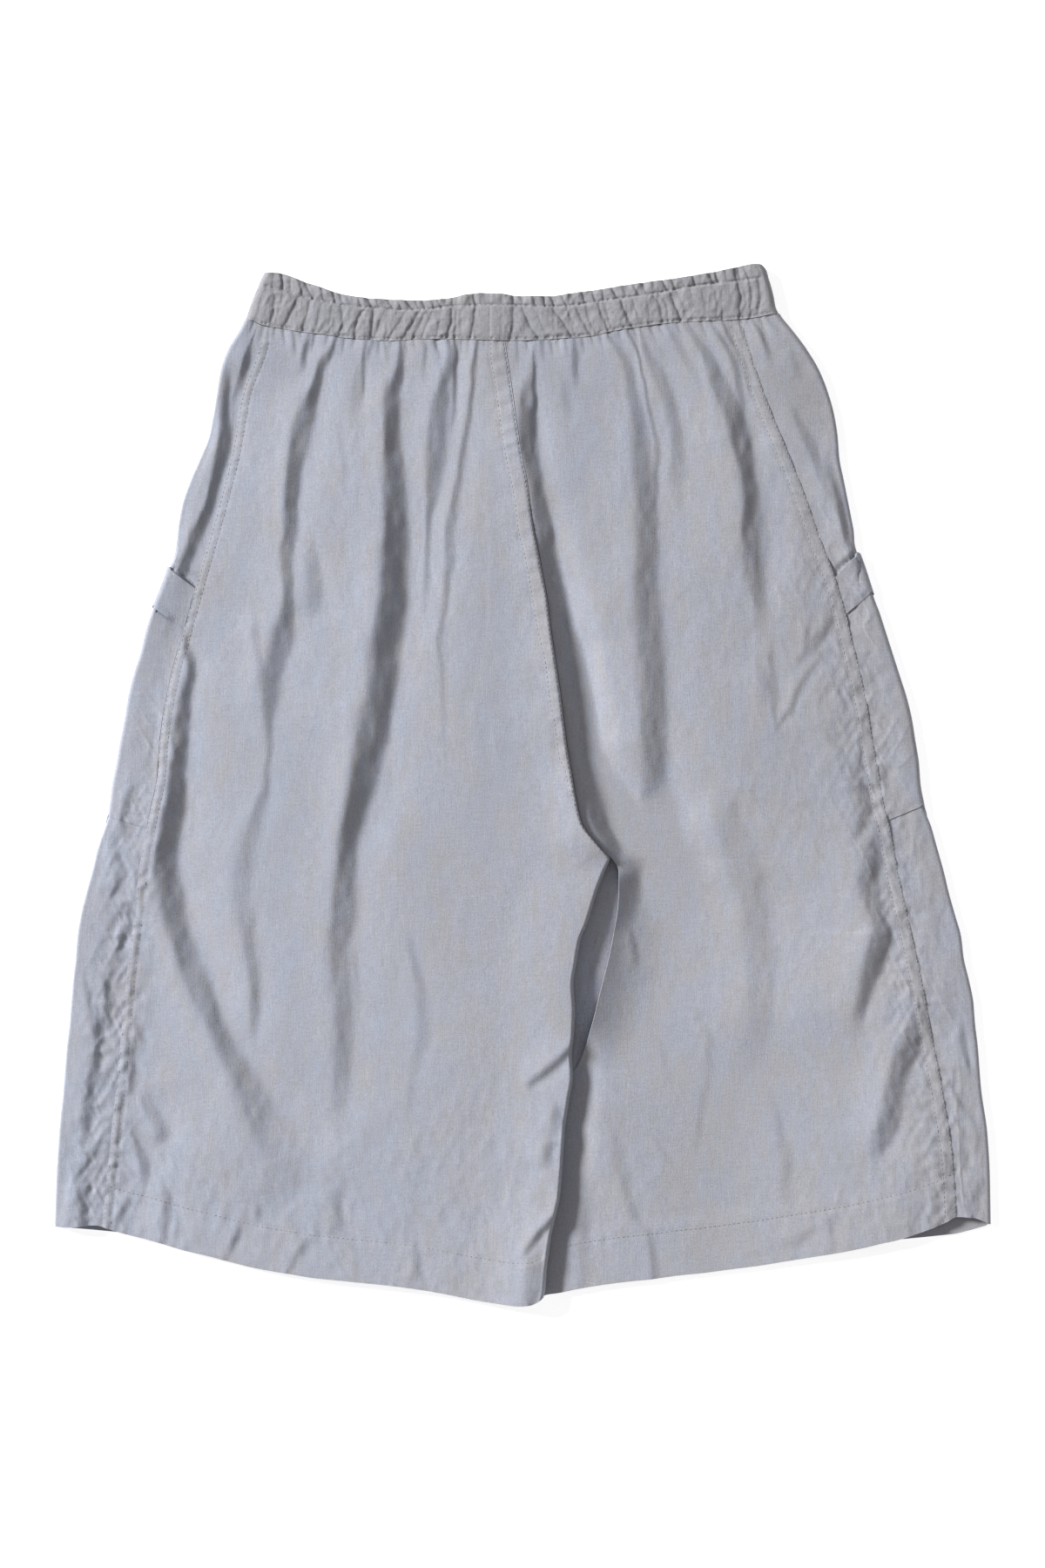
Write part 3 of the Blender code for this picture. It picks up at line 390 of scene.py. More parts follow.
    "s4": ((1125, 1262, 6, 0), (1131, 1290, 10, .35), (1134, 1320, 8, .1)),
    "s5": ((1125, 1345, 4, 0), (1122, 1368, 9, .38), (1117, 1392, 8, .2)),
    "s6": ((1012, 872, 4, 0), (1016, 890, 6, .3), (1017, 910, 5, 0)),
    "s7": ((1040, 780, 6, 0), (1047, 815, 9, .28), (1053, 860, 10, .28), (1055, 900, 8, 0)),
    "s8": ((1060, 1040, 5, 0), (1072, 1052, 7, .25), (1086, 1062, 5, 0)),
    # The deep shade beside the left leg, on the right one.
    "beside2": ((648, 1292, 5, .3), (654, 1310, 8, .9), (662, 1324, 8, .85), (669, 1332, 5, 0)),
    "beside3": ((668, 1330, 10, .1), (668, 1360, 20, .4), (664, 1395, 24, .42), (660, 1430, 28, .42),
        (657, 1475, 28, .35)),
}

# Gathers of the waistband. Columns: u, v, width and depth, which is in millimetres.
BAND_GROOVES = (
    ((314, 336, 3, .5), (315, 354, 4, 1.0), (310, 372, 4, .8)),
    ((341, 341, 4, .6), (334, 360, 7, 1.3), (326, 376, 5, 1.0)),
    ((357, 345, 4, .6), (352, 362, 5, .9), (347, 380, 4, .5)),
    ((369, 348, 4, .3), (365, 365, 4, .6), (362, 382, 4, .4)),
    ((381, 349, 4, .4), (380, 368, 4, .5), (377, 385, 4, .3)),
    ((392, 352, 4, .8), (393, 372, 4, .9), (388, 387, 5, 1.0)),
    ((416, 358, 4, .9), (408, 372, 5, 1.4), (407, 388, 4, 1.0)),
    ((429, 354, 4, .9), (427, 376, 5, 1.4), (424, 390, 5, 1.3)),
    ((442, 357, 4, .6), (433, 378, 5, 1.0), (428, 390, 4, .6)),
    ((452, 358, 3, .3), (446, 376, 4, .5), (440, 390, 3, .3)),
    ((465, 358, 4, .7), (457, 372, 5, 1.0), (446, 390, 4, .7)),
    ((480, 360, 4, .9), (474, 371, 5, 1.1), (461, 390, 4, .8)),
    ((486, 362, 4, .8), (481, 374, 4, 1.0), (474, 389, 4, .9)),
    ((495, 360, 3, .5), (489, 375, 4, .8), (483, 389, 4, .7)),
    ((507, 355, 3, .3), (504, 372, 4, .4), (501, 389, 3, .3)),
    ((519, 353, 4, 1.0), (517, 374, 5, 1.3), (513, 388, 4, 1.2)),
    ((524, 357, 3, .5), (523, 374, 4, .8), (522, 389, 4, .8)),
    ((530, 357, 3, .3), (529, 372, 3, .5), (528, 388, 3, .5)),
    ((546, 351, 4, .8), (543, 372, 4, .9), (540, 388, 4, .8)),
    ((575, 353, 3, .2), (575, 370, 3, .25), (574, 389, 3, .2)),
    ((590, 352, 4, .6), (588, 374, 5, .9), (585, 390, 4, .8)),
    ((599, 355, 4, .8), (608, 373, 5, 1.2), (619, 390, 5, 1.1)),
    ((612, 354, 3, .2), (620, 370, 4, .3), (628, 389, 3, .3)),
    ((634, 354, 4, .9), (643, 365, 5, 1.3), (656, 387, 4, 1.1)),
    ((650, 353, 4, .5), (655, 366, 4, .8), (660, 384, 4, .5)),
    ((661, 354, 4, .6), (668, 367, 5, 1.1), (676, 383, 4, .9)),
    ((672, 352, 3, .5), (676, 368, 4, .7), (684, 382, 4, .5)),
    ((686, 350, 4, .8), (691, 364, 5, 1.1), (698, 379, 4, .7)),
    ((693, 347, 3, .5), (697, 362, 4, .7), (702, 376, 3, .4)),
    ((711, 342, 4, .9), (719, 362, 5, 1.3), (727, 377, 4, 1.0)),
    ((726, 343, 3, .4), (730, 356, 4, .6), (734, 370, 4, .4)),
    ((741, 340, 3, .3), (744, 355, 3, .4), (745, 371, 3, .3)),
    ((749, 340, 4, .8), (759, 354, 5, 1.1), (760, 371, 4, .7)),
    ((756, 338, 4, .6), (765, 352, 4, .8), (766, 369, 4, .5)),
    ((770, 340, 4, 1.1), (777, 356, 5, 1.7), (781, 371, 5, 1.3)),
    ((777, 336, 3, .4), (785, 352, 4, .5), (789, 368, 3, .3)),
    ((792, 332, 3, .3), (795, 350, 4, .35), (793, 368, 3, .3)),
    ((803, 330, 3, .3), (808, 348, 4, .4), (806, 367, 3, .3)),
    ((817, 328, 3, .4), (823, 345, 4, .5), (821, 366, 3, .4)),
    ((828, 352, 3, .2), (829, 361, 4, .8), (829, 369, 4, .9)),
    ((836, 325, 3, .2), (838, 345, 3, .25), (836, 365, 3, .2)),
    ((847, 324, 4, 1.1), (850, 343, 5, 1.4), (848, 363, 4, 1.2)),
    ((853, 324, 3, .4), (855, 342, 3, .6), (853, 360, 3, .4)),
    ((860, 321, 4, .7), (862, 342, 4, 1.0), (860, 361, 4, .9)),
    ((870, 320, 4, .9), (872, 339, 5, 1.3), (869, 361, 4, 1.1)),
    ((880, 318, 4, .8), (884, 336, 5, 1.2), (887, 353, 4, .8)),
    ((301, 330, 3, .3), (299, 350, 4, .4), (294, 366, 4, .5)),
    ((325, 334, 3, .4), (322, 352, 4, .5), (316, 372, 3, .4)),
)
# Pleats of the header: u and v at both ends, and depth.
HEADER_GROOVES = (
    (305, 314, 306, 328, .4), (313, 313, 314, 330, .6), (323, 315, 325, 331, 1.5), (333, 318, 334, 334, .8),
    (344, 322, 347, 340, 1.1), (350, 326, 360, 342, 1.3), (355, 326, 364, 343, .6), (368, 331, 372, 345, 1.0),
    (381, 334, 385, 349, 1.4), (389, 337, 396, 350, .9), (396, 339, 404, 351, .7), (409, 341, 416, 353, 1.0),
    (421, 342, 428, 353, 1.5), (431, 343, 436, 354, .8), (444, 344, 452, 356, 1.1), (454, 344, 462, 356, .8),
    (463, 345, 476, 356, 1.5), (474, 345, 482, 356, .7), (484, 345, 489, 355, 1.2), (494, 344, 499, 354, .8),
    (502, 344, 506, 353, .9), (511, 343, 512, 353, .6), (520, 341, 519, 354, 1.4), (525, 340, 524, 352, .6),
    (543, 337, 546, 351, 1.3), (551, 337, 553, 350, .3), (575, 337, 576, 350, .3), (588, 339, 591, 351, 1.5),
    (598, 340, 600, 351, .9), (611, 341, 616, 352, .7), (622, 340, 626, 352, 1.3), (631, 340, 637, 353, 1.4),
    (643, 338, 651, 352, 1.1), (655, 337, 660, 350, .6), (667, 336, 672, 348, 1.3), (679, 334, 684, 346, 1.1),
    (690, 332, 694, 344, 1.0), (700, 331, 710, 343, 1.4), (714, 329, 719, 341, .6), (726, 327, 734, 339, 1.3),
    (736, 326, 743, 338, 1.0), (748, 324, 752, 336, .5), (759, 323, 768, 337, 1.6), (769, 321, 778, 336, 1.1),
    (782, 319, 786, 331, .5), (794, 317, 799, 330, 1.2), (811, 314, 820, 326, 1.3), (820, 312, 825, 326, 1.5),
    (832, 310, 835, 324, .5), (842, 308, 846, 322, 1.4), (847, 308, 850, 322, 1.3), (852, 306, 860, 321, .9),
    (869, 303, 878, 318, 1.5),
)
# Short gathers under the waistband's foot: u at the stitches, u at the lower end, its length, and depth.
FOOT_GROOVES = (
    (304, 297, 22, .9), (316, 314, 16, .6), (325, 328, 20, .8), (345, 348, 12, .6), (362, 357, 26, .8),
    (377, 372, 16, .7), (396, 392, 24, .7), (407, 403, 14, .7), (436, 434, 22, .7), (449, 449, 14, .5),
    (466, 467, 20, .6), (474, 478, 12, .6), (499, 505, 20, .7), (530, 530, 18, .6), (538, 537, 26, .5),
    (556, 556, 12, .4), (571, 571, 18, .3), (583, 584, 14, .5), (594, 596, 30, .5), (604, 607, 16, .6),
    (632, 636, 20, .7), (640, 642, 14, .6), (668, 672, 22, .6), (678, 684, 14, .7), (688, 694, 20, .7),
    (709, 716, 16, .6), (727, 735, 20, .7), (745, 756, 22, .6), (755, 764, 14, .6), (776, 786, 18, .6),
    (785, 797, 22, .6), (803, 815, 22, .6), (810, 822, 14, .5), (838, 848, 20, .5), (848, 856, 26, .6),
    (856, 866, 16, .7), (871, 884, 26, .7), (292, 284, 18, .6),
)

# Thin creases all over the cloth: amount, angle in degrees, seed, length and width.
THIN_CREASES = ((1, 58, 51, 46, 15), (1, 118, 54, 52, 15), (0.8, 84, 57, 70, 13), (0.6, 12, 60, 40, 16))

# The right panel lies low along the centre seam: (v, depth in millimetres) and (v, width in squares).
VALLEY_DEPTH = (
    (300, 0), (540, 0), (600, 1.2), (680, 3.2), (740, 5.4), (800, 6.4), (860, 6.6), (910, 6.2), (950, 5.2),
    (985, 3.5), (1010, 0), (1600, 0),
)
VALLEY_WIDTH = (
    (300, 8), (600, 9), (680, 11), (740, 15), (800, 20), (860, 22), (910, 22), (960, 18), (985, 12),
    (1600, 12),
)
# The right leg falls away from its raised rim: (v, width in squares).
FALL_WIDTH = (
    (300, 60), (985, 70), (1030, 88), (1080, 84), (1140, 68), (1200, 55), (1260, 45), (1600, 45),
)

# ---------------------------------------------------------------------------------------------------------
# Shapes over the plan


def smooth(value, low, high):
    """0 at low, 1 at high, and an eased step between them; low may be above high."""
    t = np.clip((np.asarray(value, float) - low) / (high - low), 0.0, 1.0)
    return t * t * (3 - 2 * t)


def bell(value, width):
    """1 where the value is 0, falling off on both sides over the width."""
    return np.exp(-((value / width) ** 2))


def line(points):
    """A smooth function through the points that never overshoots them, straight past its ends."""
    x, y = np.array(sorted(points), float).T
    step, rise = np.diff(x), np.diff(y) / np.diff(x)
    slope = np.zeros(len(x))
    same = rise[:-1] * rise[1:] > 0
    slope[1:-1][same] = (2 * rise[:-1] * rise[1:] / np.where(same, rise[:-1] + rise[1:], 1))[same]
    slope[0], slope[-1] = rise[0], rise[-1]

    def at(value):
        value = np.asarray(value, float)
        inside = np.clip(value, x[0], x[-1])
        i = np.clip(np.searchsorted(x, inside) - 1, 0, len(step) - 1)
        t = (inside - x[i]) / step[i]
        curve = (
            y[i] * (1 + 2 * t) * (1 - t) ** 2
            + y[i + 1] * t * t * (3 - 2 * t)
            + slope[i] * step[i] * t * (1 - t) ** 2
            - slope[i + 1] * step[i] * t * t * (1 - t)
        )
        before = np.where(value < x[0], (value - x[0]) * slope[0], 0)
        return curve + before + np.where(value > x[-1], (value - x[-1]) * slope[-1], 0)

    return at


left_edge = line([(v, a) for v, a, _ in OUTLINE])
right_edge = line([(v, b) for v, _, b in OUTLINE])
left_seam, right_seam, centre_seam = line(LEFT_SEAM), line(RIGHT_SEAM), line(CENTRE_SEAM)
inner_above = line(LEFT_INNER_ABOVE)
inner_left_below, inner_right_below = line(LEFT_INNER_BELOW), line(RIGHT_INNER_BELOW)
band_top, band_stitch, band_foot = line(BAND_TOP), line(BAND_STITCH), line(BAND_FOOT)
upper_hem, lower_hem = line(UPPER_HEM), line(LOWER_HEM)
valley_depth, valley_width, fall_width = line(VALLEY_DEPTH), line(VALLEY_WIDTH), line(FALL_WIDTH)
EDGES = {"left": left_edge, "right": right_edge}
SEAMS = {"left": left_seam, "right": right_seam}


def panel_top(u):
    """The panels' upper edge."""
    return band_foot(u) + TOP_GAP


def left_inner(v):
    """Inner edge of the left back panel."""
    return np.where(np.asarray(v) < CROTCH_V, inner_above(v), inner_left_below(v))


def right_inner(v):
    """Inner edge of the right back panel."""
    return np.where(np.asarray(v) < CROTCH_V, inner_above(v), inner_right_below(v)) + RIM_GAP


def noise(u, v, seed, size_u, size_v):
    """Smooth noise from -1 to 1 over the plan, with blobs of that size in squares."""
    count = 256
    grid = np.random.default_rng(seed).uniform(-1, 1, (count, count))
    a, b = np.asarray(u) / size_u, np.asarray(v) / size_v
    i, j = np.floor(a).astype(int), np.floor(b).astype(int)
    s, t = a - i, b - j
    s, t = s * s * s * (s * (6 * s - 15) + 10), t * t * t * (t * (6 * t - 15) + 10)
    i, j, i1, j1 = i % count, j % count, (i + 1) % count, (j + 1) % count
    return (grid[i, j] * (1 - s) + grid[i1, j] * s) * (1 - t) + (grid[i, j1] * (1 - s) + grid[i1, j1] * s) * t


GRID_U = np.arange(40.0, 1161.0)
GRID_V = np.arange(290.0, 1521.0)
PLAN_U, PLAN_V = np.meshgrid(GRID_U, GRID_V)


def sample(field, u, v):
    """A field over the whole plan, read between its squares."""
    a = np.clip(u - GRID_U[0], 0, len(GRID_U) - 1.001)
    b = np.clip(v - GRID_V[0], 0, len(GRID_V) - 1.001)
    i, j = a.astype(int), b.astype(int)
    s, t = a - i, b - j
    return (field[j, i] * (1 - s) + field[j, i + 1] * s) * (1 - t) + (
        field[j + 1, i] * (1 - s) + field[j + 1, i + 1] * s
    ) * t


def box_around(low, high, reach):
    """The slices of the plan that hold the places from low to high, and a reach on every side."""
    start = np.floor(np.asarray(low) - reach - (GRID_U[0], GRID_V[0])).astype(int)
    stop = np.ceil(np.asarray(high) + reach - (GRID_U[0], GRID_V[0])).astype(int) + 1
    start = np.clip(start, 0, (len(GRID_U) - 1, len(GRID_V) - 1))
    stop = np.clip(stop, start + 1, (len(GRID_U), len(GRID_V)))
    return start, stop


def along_route(rows, reach):
    """Part of the plan near a route: its signed distance, positive to the right of one who walks down it,
    and the route's other columns at the nearest place."""
    rows = np.array(rows, float)
    span = np.hypot(*np.diff(rows[:, :2], axis=0).T)
    length = np.concatenate([[0], np.cumsum(span)])
    place = np.linspace(0, length[-1], max(3, int(length[-1] / 8)))
    fine = np.stack([line(list(zip(length, column)))(place) for column in rows.T], axis=1)
    start, stop = box_around(fine[:, :2].min(0), fine[:, :2].max(0), reach)
    part = (slice(start[1], stop[1]), slice(start[0], stop[0]))
    shape = (stop[1] - start[1], stop[0] - start[0])
    best = np.full(shape, 1e9)
    side = np.ones(shape)
    values = np.ones((rows.shape[1] - 2,) + shape)
    for a, b in zip(fine[:-1], fine[1:]):
        first, last = box_around(np.minimum(a, b)[:2], np.maximum(a, b)[:2], reach)
        first, last = np.maximum(first, start) - start, np.minimum(last, stop) - start
        local = (slice(first[1], last[1]), slice(first[0], last[0]))
        du = (GRID_U[start[0] + first[0]:start[0] + last[0]] - a[0])[None, :]
        dv = (GRID_V[start[1] + first[1]:start[1] + last[1]] - a[1])[:, None]
        run = b[:2] - a[:2]
        t = np.clip((du * run[0] + dv * run[1]) / (run @ run), 0, 1)
        du, dv = du - t * run[0], dv - t * run[1]
        distance = np.hypot(du, dv)
        nearer = distance < best[local]
        best[local] = np.where(nearer, distance, best[local])
        side[local] = np.where(nearer, np.where(du * run[1] - dv * run[0] >= 0, 1.0, -1.0), side[local])
        for k in range(len(values)):
            values[k][local] = np.where(nearer, a[k + 2] + t * (b[k + 2] - a[k + 2]), values[k][local])
    return part, side * best, values


def add_step(z, rows, share=STEEPNESS):
    """A slope across the route's width, levelling out on both sides and healing farther away."""
    part, d, (width, slope) = along_route(rows, 10 + 3.0 * max(row[2] for row in rows))
    half = width / 2
    x = d / half
    ramp = x / (1 + np.abs(x) ** 5) ** 0.2
    heal = np.exp(-((np.maximum(np.abs(d) - half, 0) / (5 + 1.15 * width)) ** 1.4))
    z[part] -= share * slope * half * SQUARE * ramp * heal


def add_groove(z, rows):
    """A tuck that is deepest along the route."""
    part, d, (width, depth) = along_route(rows, 3 * max(row[2] for row in rows))
    x = np.abs(d) / width
    z[part] -= depth * (np.exp(-x / 0.42) - 0.25 * bell(x - 1.3, 0.6))


def add_tuck(z, rows):
    """A tuck that falls steeply into its route and rises slowly out of it."""
    part, d, (width, depth) = along_route(rows, 18)
    before = np.exp(np.minimum(d, 0) / (0.42 * width))
    after = np.exp(-np.maximum(d, 0) / (1.7 * width))
    z[part] -= depth * np.where(d < 0, before, after)


def creases(u, v, angle, seed, length, width):
    """Thin raised creases in one direction, here and there: 0 between them and 1 on their ridges."""
    turn = math.radians(angle)
    along = u * math.cos(turn) + v * math.sin(turn)
    across = -u * math.sin(turn) + v * math.cos(turn)
    ridge = np.exp(-np.abs(noise(along, across, seed, length, width)) / 0.13)
    return ridge * smooth(noise(along, across, seed + 1, length * 1.3, width * 4), 0.05, 0.55)


def facets(u, v, first, second):
    """Small sharp-edged patches: the folds of two leaning noises, each a lean, a seed and a size."""
    return [np.abs(noise(u + lean * v, v, *rest)) for lean, *rest in (first, second)]


def crumple(u, v):
    """The creasing of worn-soft linen: broad waves, small facets and thin creases in clusters. It is
    stronger beside the side seams, on the right leg and above the hems."""
    from_left, from_right = u - left_seam(v), u - right_seam(v)
    soft = 0.40 * noise(u, v, 3, 62, 120) + 0.16 * noise(u + 0.3 * v, v, 4, 30, 58)
    leaning = np.abs(noise(u - 0.4 * v, v, 6, 11, 14))
    sharp = np.abs(noise(u + 0.25 * v, v - 0.1 * u, 5, 18, 28)) + 0.6 * leaning
    fine = noise(u, v, 7, 8, 11) + 0.5 * noise(u, v, 8, 4.6, 6)
    left = bell(from_left, 38) * smooth(v, 640, 900)
    right = bell(from_right, 46) * smooth(v, 480, 700)
    middle = smooth(u, 700, 900) * smooth(v, 520, 700)
    strength = 0.3 + 0.6 * smooth(v, 1180, 1400) + 0.9 * left + 0.9 * right + 0.2 * middle
    thin = 0
    for amount, *kind in THIN_CREASES:
        thin = thin + amount * creases(u, v, *kind)
    patches = sum(facets(u, v, (0.6, 81, 11, 19), (-0.5, 82, 8, 13)))
    seamed = bell(from_left + 10, 30) * smooth(v, 840, 1000)
    seamed = seamed + 0.8 * bell(from_right + 16, 26) * smooth(v, 690, 780)
    relief = strength * (-0.30 * (sharp - 0.6) + 0.11 * fine + 0.30 * thin)
    return soft * 0.5 + relief - 0.85 * seamed * (patches - 0.6)


def make_upper():
    """Height of the whole upper layer, with its creases, over the plan."""
    u, v = PLAN_U, PLAN_V
    from_left, from_right = u - left_edge(v), right_edge(v) - u
    inward = np.minimum(from_left, from_right)
    rise = np.minimum(smooth(from_left, 10, 175), smooth(from_right, -4, 110))
    z = EDGE_HEIGHT + (PLATEAU - EDGE_HEIGHT) * rise
    z = z + 5.4 * smooth(from_left, 106, 20) * smooth(v, 760, 1000)
    z = z + (PLATEAU - z) * smooth(v, 470, 385)
    z = z + crumple(u, v) * smooth(inward, 0, 14)
    folds = np.zeros_like(z)
    for name, rows in STEPS.items():
        add_step(folds, rows, STEEPNESS * (SOFT_SHARE if name.startswith(SOFT_STEPS) else 1.0))
    bent_u = u + 2.6 * noise(u, v, 61, 24, 46) + 1.3 * noise(u, v, 62, 9, 17)
    bent_v = v + 3.0 * noise(u, v, 63, 30, 30)
    folds = sample(folds, bent_u, bent_v) * (1 + 0.16 * noise(u, v, 64, 36, 70))
    for top, end, length, depth in FOOT_GROOVES:
        foot = float(band_foot(top))
        middle = (top * 0.6 + end * 0.4, foot + length * 0.45, 4.5, depth)
        add_tuck(folds, ((top, foot - 2, 4.0, depth * 1.5), middle, (end, foot + length, 5, 0)))
    return z + folds * smooth(inward, -2, 16)


def make_side():
    """The same under the side panels, with the hollows at the pockets' mouths."""
    z = UPPER.copy()
    for rows in MOUTH_STEPS:
        add_step(z, rows)
    for rows in MOUTH_DIPS:
        add_groove(z, rows)
    for rows in BAND_SINKS:
        add_groove(z, [(u, v, 16, depth * 1.25) for u, v, _, depth in rows])
    return z


def make_pocket():
    """The same under the pockets, sunk below the foot of each mouth band."""
    z = UPPER.copy()
    for rows in BAND_SINKS:
        add_tuck(z, rows)
    return z


def hem_relief(u, v, side):
    """The turned-up hem: a thicker band, pulled in along its stitches."""
    above = upper_hem(u) - v - HEM_DEPTH[side]
    band = 0.3 * smooth(above, 3, -3)
    stitch = -0.22 * bell(above, 1.8) * (1 + 0.9 * noise(u, v * 0, 11, 5, 5))
    pucker = 0.24 * noise(u, v * 0.4, 12, 8, 40) * bell(above, 14)
    return band + stitch + pucker


def strip_relief(d, along, low, high, seed, pull=1.0):
    """A felled seam, puckered by its two rows of stitches at distances low and high from its line."""
    inside = smooth(d, low - 2, low + 1) * smooth(d, high + 2, high - 1)
    rows = bell(d - low, 1.6) + bell(d - high, 1.6)
    spread = np.exp(-(((d - (low + high) / 2) / (high - low)) ** 2) * 1.6)
    ladder = noise(along + d * 0.3, d * 0, seed, 5.5, 9)
    ladder = ladder + 0.7 * noise(along - d * 0.5, d * 0, seed + 50, 11, 9)
    return 0.22 * inside - 0.3 * pull * rows + 0.34 * pull * ladder * spread


# ---------------------------------------------------------------------------------------------------------
# Meshes


def unit(vectors):
    return vectors / np.maximum(np.linalg.norm(vectors, axis=-1, keepdims=True), 1e-9)


def normals_of(grid, closed=False):
    """Unit normals of a grid of points."""
    loop = np.concatenate([grid, grid[:, :1]], axis=1) if closed else grid
    face = unit(np.cross(loop[1:, 1:] - loop[:-1, :-1], loop[:-1, 1:] - loop[1:, :-1]))
    face = np.pad(face, ((1, 1), (0, 0), (0, 0)), mode="edge")
    face = np.pad(face, ((0, 0), (1, 1), (0, 0)), mode="wrap" if closed else "edge")
    return unit((face[:-1, :-1] + face[1:, :-1] + face[:-1, 1:] + face[1:, 1:])[:, : grid.shape[1]])


def bend_of(grid):
    """How far the points stand off the line through their neighbours, at the most in the cells around."""
    bend = np.zeros(grid.shape[:2])
    bend[1:-1] = np.linalg.norm(grid[2:] - 2 * grid[1:-1] + grid[:-2], axis=-1)
    sideways = np.linalg.norm(grid[:, 2:] - 2 * grid[:, 1:-1] + grid[:, :-2], axis=-1)
    bend[:, 1:-1] = np.maximum(bend[:, 1:-1], sideways)
    rows, columns = bend.shape
    padded = np.pad(bend, 1, mode="edge")
    return np.max([padded[i:i + rows, j:j + columns] for i in range(3) for j in range(3)], axis=0)


def add_shell(name, grid, material, thickness=CLOTH, closed=False, wear_and_shade=None, spread=0.4):
    """A closed cloth shell. The grid is its outer face; the inner one has half as many points each way,
    and lies a thickness behind, plus a spread where the outer one bends."""
    rows, columns = grid.shape[:2]
    behind = (thickness + spread * np.minimum(bend_of(grid), 1.0))[..., None]
    inner = (grid - normals_of(grid, closed) * behind)[::2, ::2]
    points = np.concatenate([grid.reshape(-1, 3), inner.reshape(-1, 3)]) * 0.001
    outer_index = np.arange(rows * columns).reshape(rows, columns)
    inner_index = rows * columns + np.arange(inner.shape[0] * inner.shape[1]).reshape(inner.shape[:2])
    if closed:
        outer_index = np.concatenate([outer_index, outer_index[:, :1]], axis=1)
        inner_index = np.concatenate([inner_index, inner_index[:, :1]], axis=1)
    faces = [cells(outer_index), cells(inner_index)[:, ::-1]]
    rims = [(outer_index[0][::-1], inner_index[0][::-1]), (outer_index[-1], inner_index[-1])]
    if not closed:
        rims += [(outer_index[:, 0], inner_index[:, 0]), (outer_index[::-1, -1], inner_index[::-1, -1])]
    for fine, coarse in rims:
        a, b, c = fine[:-1:2], fine[1::2], fine[2::2]
        faces.append(np.stack([b, a, coarse[:-1], coarse[1:]], -1))
        faces.append(np.stack([c, b, coarse[1:]], -1))
    piece = add_mesh(name, points, faces, material)
    values = np.zeros(len(points))
    if wear_and_shade is not None:
        values[: rows * columns] = wear_and_shade.ravel()
    # the wear_and_shade attribute: rubbed wear above 0, painted shade far below 0
    piece.data.attributes.new("wear_and_shade", "FLOAT", "POINT").data.foreach_set("value", values)
    return piece


def cells(index):
    """The quads of a grid of point numbers."""
    return np.stack([index[:-1, :-1], index[1:, :-1], index[1:, 1:], index[:-1, 1:]], -1).reshape(-1, 4)


def add_object(name, data):
    made = bpy.data.objects.new(name, data)
    bpy.context.scene.collection.objects.link(made)
    return made


def add_mesh(name, points, faces, material):
    """A smooth mesh of these points and faces; the faces come as one array for each number of corners."""
    mesh = bpy.data.meshes.new(name)
    mesh.vertices.add(len(points))
    mesh.vertices.foreach_set("co", np.ascontiguousarray(points, dtype=np.float32).ravel())
    corners = np.concatenate([np.full(len(group), group.shape[1]) for group in faces]).astype(np.int32)
    loops = np.concatenate([group.ravel() for group in faces]).astype(np.int32)
    mesh.loops.add(len(loops))
    mesh.loops.foreach_set("vertex_index", loops)
    mesh.polygons.add(len(corners))
    mesh.polygons.foreach_set("loop_start", np.concatenate([[0], np.cumsum(corners)[:-1]]).astype(np.int32))
    mesh.polygons.foreach_set("loop_total", corners)
    mesh.update(calc_edges=True)
    mesh.validate()
    mesh.shade_smooth()
    mesh.set_sharp_from_angle(angle=math.radians(60))
    mesh.materials.append(material)
    return add_object(name, mesh)


def to_world(u, v, z):
    """Millimetres in the frame, from places on the plan."""
    return np.stack([(u - MIDDLE[0]) * SQUARE, (MIDDLE[1] - v) * SQUARE, z], axis=-1)


def panel(first, last, top, hem, columns, rows):
    """Plan places of a panel between two lines of u, from a top line to a hem line of v. Each column's two
    ends are found by repeated steps between the lines."""
    u = np.zeros((len(rows), len(columns)))
    v = np.zeros_like(u)
    for k, share in enumerate(columns):
        v_top, v_hem = 390.0, 1440.0
        for _ in range(12):
            v_top = float(top(first(v_top) * (1 - share) + last(v_top) * share))
            v_hem = float(hem(first(v_hem) * (1 - share) + last(v_hem) * share))
        v[:, k] = v_top + (v_hem - v_top) * rows
        u[:, k] = first(v[:, k]) * (1 - share) + last(v[:, k]) * share
    return u, v


# ---------------------------------------------------------------------------------------------------------
# Heights of the pieces' outer faces, in millimetres over places on the plan


def above(z, low):
    """Keeps a height over a low limit, with a soft turn."""
    return low + 0.45 * np.logaddexp(0, (z - low) / 0.45)


def turned_down(z, inward, foot, reach):
    """Rounds a cloth's height down to its foot at an edge, over a reach inward from it."""
    turn = np.clip(1 - inward / reach, 0, 1)
    return z - (z - foot) * (1 - np.sqrt(np.clip(1 - turn**2, 0, 1)))


def lapped(v):
    """How far the left leg has climbed over the right one."""
    return smooth(v, 1166, 1234)


def gap_open(v):
    """1 along the opening between the legs and above it, 0 where the left leg laps the right one."""
    return smooth(v, GAP_END_V, 1200)


def hem_zone(u, v, side, hem):
    """1 inside the turned-up hem."""
    depth = HEM_DEPTH[side]
    return smooth(hem(u) - v, depth + 22, depth + 2)


